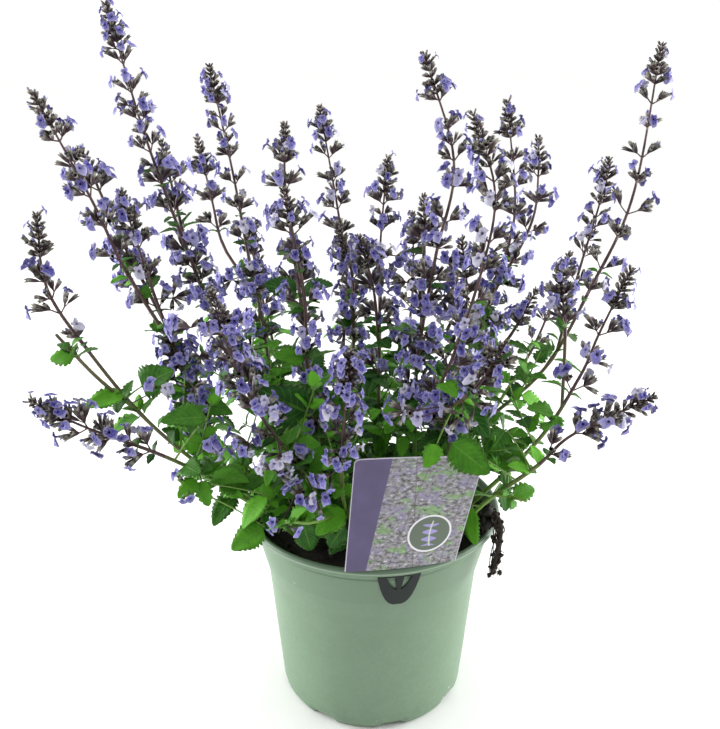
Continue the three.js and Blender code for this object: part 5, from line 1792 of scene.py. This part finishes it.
down = 1 - np.linspace(1, 0.05, 30) ** 1.5
down = np.concatenate([[0, 0, 0, 0], np.sort(np.append(down, GAP_END))])
tongue_front, tongue_back = [], []
for row, t in enumerate(down):
    edge, outer, inner = tongue_edges(t)
    right = np.concatenate([np.linspace(0, inner, 3), np.linspace(outer, edge, 5)])
    places = np.concatenate([-right[:0:-1], right])
    bow = (TONGUE_BOW if row else LABEL_BOW) * places ** 2
    if row < len(STRAP_ROWS):
        (front_out, front_z), (back_out, back_z) = STRAP_ROWS[row]
    else:
        back_z = SLOT_Z - t * TONGUE_LENGTH
        back_out = collar_radius(back_z) + GAP
        front_z = SLOT_TOP if row == len(STRAP_ROWS) else back_z
        front_out = back_out + LABEL_SHEET
    tongue_front.append(facing(front_out - bow, places, front_z))
    tongue_back.append(facing(back_out - bow, places, back_z))
keep = np.full((len(down) - 1, len(places) - 1), True)
middle_column = len(places) // 2
is_gap = (down[:-1] > 0.04) & (down[1:] <= GAP_END)
for column in (middle_column - 3, middle_column + 2):
    keep[:, column] = ~is_gap
card.add([*np.reshape(tongue_front, (-1, 3)), *np.reshape(tongue_back, (-1, 3))], plate_faces(keep), 1)

# %% [markdown]
# ## The print on the card
# The print is a pattern of the sheet's own coordinates, which the mesh carries in millimetres. Shares that
# switch at a line, at a ring's radius or along a sprig's stalk mix the purple ground, the meadow of small
# flowers and the emblem. The meadow begins right of a slanting line. A thin pale edge of the bare card runs
# round it all.

# %% Finish the label
STALKS = ((30, 0.22), (47, -0.1), (66, 0.12))
FIELD_SLANT = 0.09
RING_X = 55
RING_Y = 26
RING_RADIUS = 14
SPRIG_BEND = 0.012

label_print = Finish("label_print")
px = label_print.painted("print_x")
py = label_print.painted("print_y")
flat = label_print.node("CombineXYZ", sockets={0: px, 1: py})
drift = label_print.noise(0.05, 2.0, flat)

fine_bloom = label_print.noise(0.3, 5.0, label_print.stretch(flat, (1.0, 1.6, 1.0)), 0.68)
clumps = label_print.noise(0.1, 3.0, flat)
patches = label_print.noise(0.06, 2.0, label_print.stretch(flat, (1.0, 1.7, 1.0)))
grass = patches.ramp(0.54, 0.64) * fine_bloom.ramp(0.3, 0.55)
from_stalks = [abs(px - py * slant - stalk_x) for stalk_x, slant in STALKS]
meadow = label_print.layers(
    (70, 72, 66),
    (fine_bloom.ramp(0.36, 0.54), (146, 144, 149)),
    (fine_bloom.ramp(0.56, 0.68), (222, 220, 232)),
    (clumps.ramp(0.52, 0.62) * 0.4, (148, 138, 182)),
    (grass * 0.75, (118, 168, 88)),
    *[((1 - from_stalk.ramp(0.25, 0.5)) * 0.6, (98, 88, 92)) for from_stalk in from_stalks],
)

# A ring with a sprig in it.
from_x = px - RING_X
from_y = py - RING_Y
ring_out = (from_x * from_x + from_y * from_y).square_root()
inside = 1 - ring_out.ramp(RING_RADIUS - 0.3, RING_RADIUS + 0.3)
on_ring = 1 - abs(ring_out - RING_RADIUS).ramp(0.5, 0.8)
sprig = (1 - abs(from_x - from_y * from_y * SPRIG_BEND).ramp(0.3, 0.55)) * (abs(from_y) < 10)
leaf_reach = ((from_y * 1.1).sine() + 1) * 2.6
sprig_leaves = (abs(from_x) < leaf_reach) * (abs(from_y + 1) < 8.6)
ground = label_print.layers(
    (79, 69, 105),
    (drift.ramp(0.3, 0.7), (90, 79, 120)),
    ((px - py * FIELD_SLANT).ramp(15.5, 16.2), meadow),
    (inside, (92, 106, 90)),
    (sprig_leaves, (160, 150, 206)),
    (sprig, (206, 214, 190)),
    (on_ring, (232, 230, 238)),
    (1 - label_print.painted("print_edge").ramp(0.3, 0.55), (200, 194, 212)),
    (1 - label_print.painted("print_front"), (224, 226, 220)),
)
label_print.coat(ground, drift * 0.2 + 0.3, label_print.noise(500.0), 0.0001, 0.15)

tongue_plastic = Finish("tongue_plastic", shine=0.2)
tongue_grain = tongue_plastic.noise(500.0)
tongue_tone = tongue_plastic.layers((28, 34, 33), (tongue_grain, (36, 42, 41)))
tongue_plastic.coat(tongue_tone, tongue_grain * 0.2 + 0.38, tongue_grain, 0.0001, 0.3)
card.make("plant_label", [label_print, tongue_plastic], "label", SHARP_ANGLE)

# %% [markdown]
# ## A dry root over the rim
# A strand of dry root has come out of the pot, stands up with a clod of peat, and hangs over the lip. A few
# thin strands run side by side along the same course, each with a wander of its own, with side rootlets. The
# clod is a heap of crumbs that sink into each other.

# %% Make the dry root
CLOD_MIDDLE = np.array((78, -43.5, 166))
CLOD_REACH = np.array((6.5, 6, 11))
CLOD_CRUMBS = 110
CLINGING_CRUMBS = 110
THICK_STRANDS = 3
THIN_STRANDS = 12
ROOTLETS = 24

root_rng = np.random.default_rng(55)
root_surface = Surface()
root_course = sampled(ROOT_ROUTE, 14)


def strand(points, thick_start, thick_end, sides, tint):
    """A thin uneven tube that tapers, with a point at its end."""
    steps = np.linspace(0, 1, len(points))[:, None]
    uneven = root_rng.uniform(0.8, 1.2, (len(points), sides))
    rings = tube(points, (thick_start + (thick_end - thick_start) * steps) * uneven, turns_of(sides))
    tip = points[-1] + unit(points[-1] - points[-2]) * thick_end
    points = np.vstack([rings.reshape(-1, 3), points[0], tip])
    root_surface.add(points, capped_faces(len(steps), sides), soil_tint=tint)


def wander(points, size):
    """The same course with slow random swings aside; its start keeps its place."""
    steps = np.linspace(0, 1, len(points))[:, None]
    swing = sum(np.sin(steps * k * 5 + root_rng.uniform(0, 6, 3)) * root_rng.normal(0, size / k, 3)
                for k in (1, 2, 4))
    return points + swing * np.minimum(1, steps * 6)


for _ in range(THICK_STRANDS):
    strand(wander(root_course, 1.1), 1.9, 1.5, 8, root_rng.uniform(0, 0.4))
for _ in range(THIN_STRANDS):
    stop = root_rng.integers(60, len(root_course))
    strand(wander(root_course[:stop], 2.2), 0.9, 0.3, 5, root_rng.uniform(0.1, 0.8))
for _ in range(CLOD_CRUMBS):
    spread = root_rng.normal(0, 1, 3)
    middle = CLOD_MIDDLE + spread / np.linalg.norm(spread) * CLOD_REACH * root_rng.uniform(0.2, 1) ** 0.5
    crumb(root_surface, middle, root_rng.uniform(1.2, 3.4), root_rng.uniform(0, 0.5) ** 2, root_rng)
for _ in range(ROOTLETS):
    start = root_rng.integers(8, len(root_course) - 4)
    aim = unit(root_rng.normal(0, 1, 3) + np.array((0.5, -0.5, -0.4)))
    long = root_rng.uniform(3, 9)
    steps = np.linspace(0, 1, 7)[:, None]
    course = root_course[start] + aim * long * steps - UP * long * 0.5 * steps ** 2
    strand(wander(course, 0.4), 0.4, 0.12, 5, root_rng.uniform(0.4, 1))
for _ in range(CLINGING_CRUMBS):
    start = root_rng.integers(0, len(root_course))
    middle = root_course[start] + root_rng.normal(0, 1.7, 3)
    crumb(root_surface, middle, root_rng.uniform(0.5, 2.0), root_rng.uniform(0, 0.5), root_rng)
# One pale hair stands off to the right.
hair_steps = np.linspace(0, 1, 14)[:, None]
hair = np.array((88, -49, 160)) + hair_steps * (20, -2, 2) + hair_steps ** 2 * (-2, 0, -9)
strand(hair, 0.16, 0.08, 5, 4.0)

dry_root = Finish("dry_root")
root_grain = dry_root.noise(420.0, 5.0)
root_light = dry_root.painted("soil_tint") * 0.8 + (root_grain - 0.5) * 0.7
root_tone = dry_root.layers(
    (17, 13, 11),
    (root_light.ramp(0.0, 1.0), (76, 54, 40)),
    (root_light.ramp(2.0, 2.5), (206, 200, 190)),
)
dry_root.coat(root_tone, root_grain * 0.2 + 0.7, root_grain, 0.0006, 0.7)
root_surface.make("dry_root_strand", [dry_root], "root_strand")

# %% [markdown]
# ## Closing the scene
# The finer plant has to keep the size of the solid model. The last line updates the scene and hands it over.

# %% Finish
bpy.context.view_layer.update()
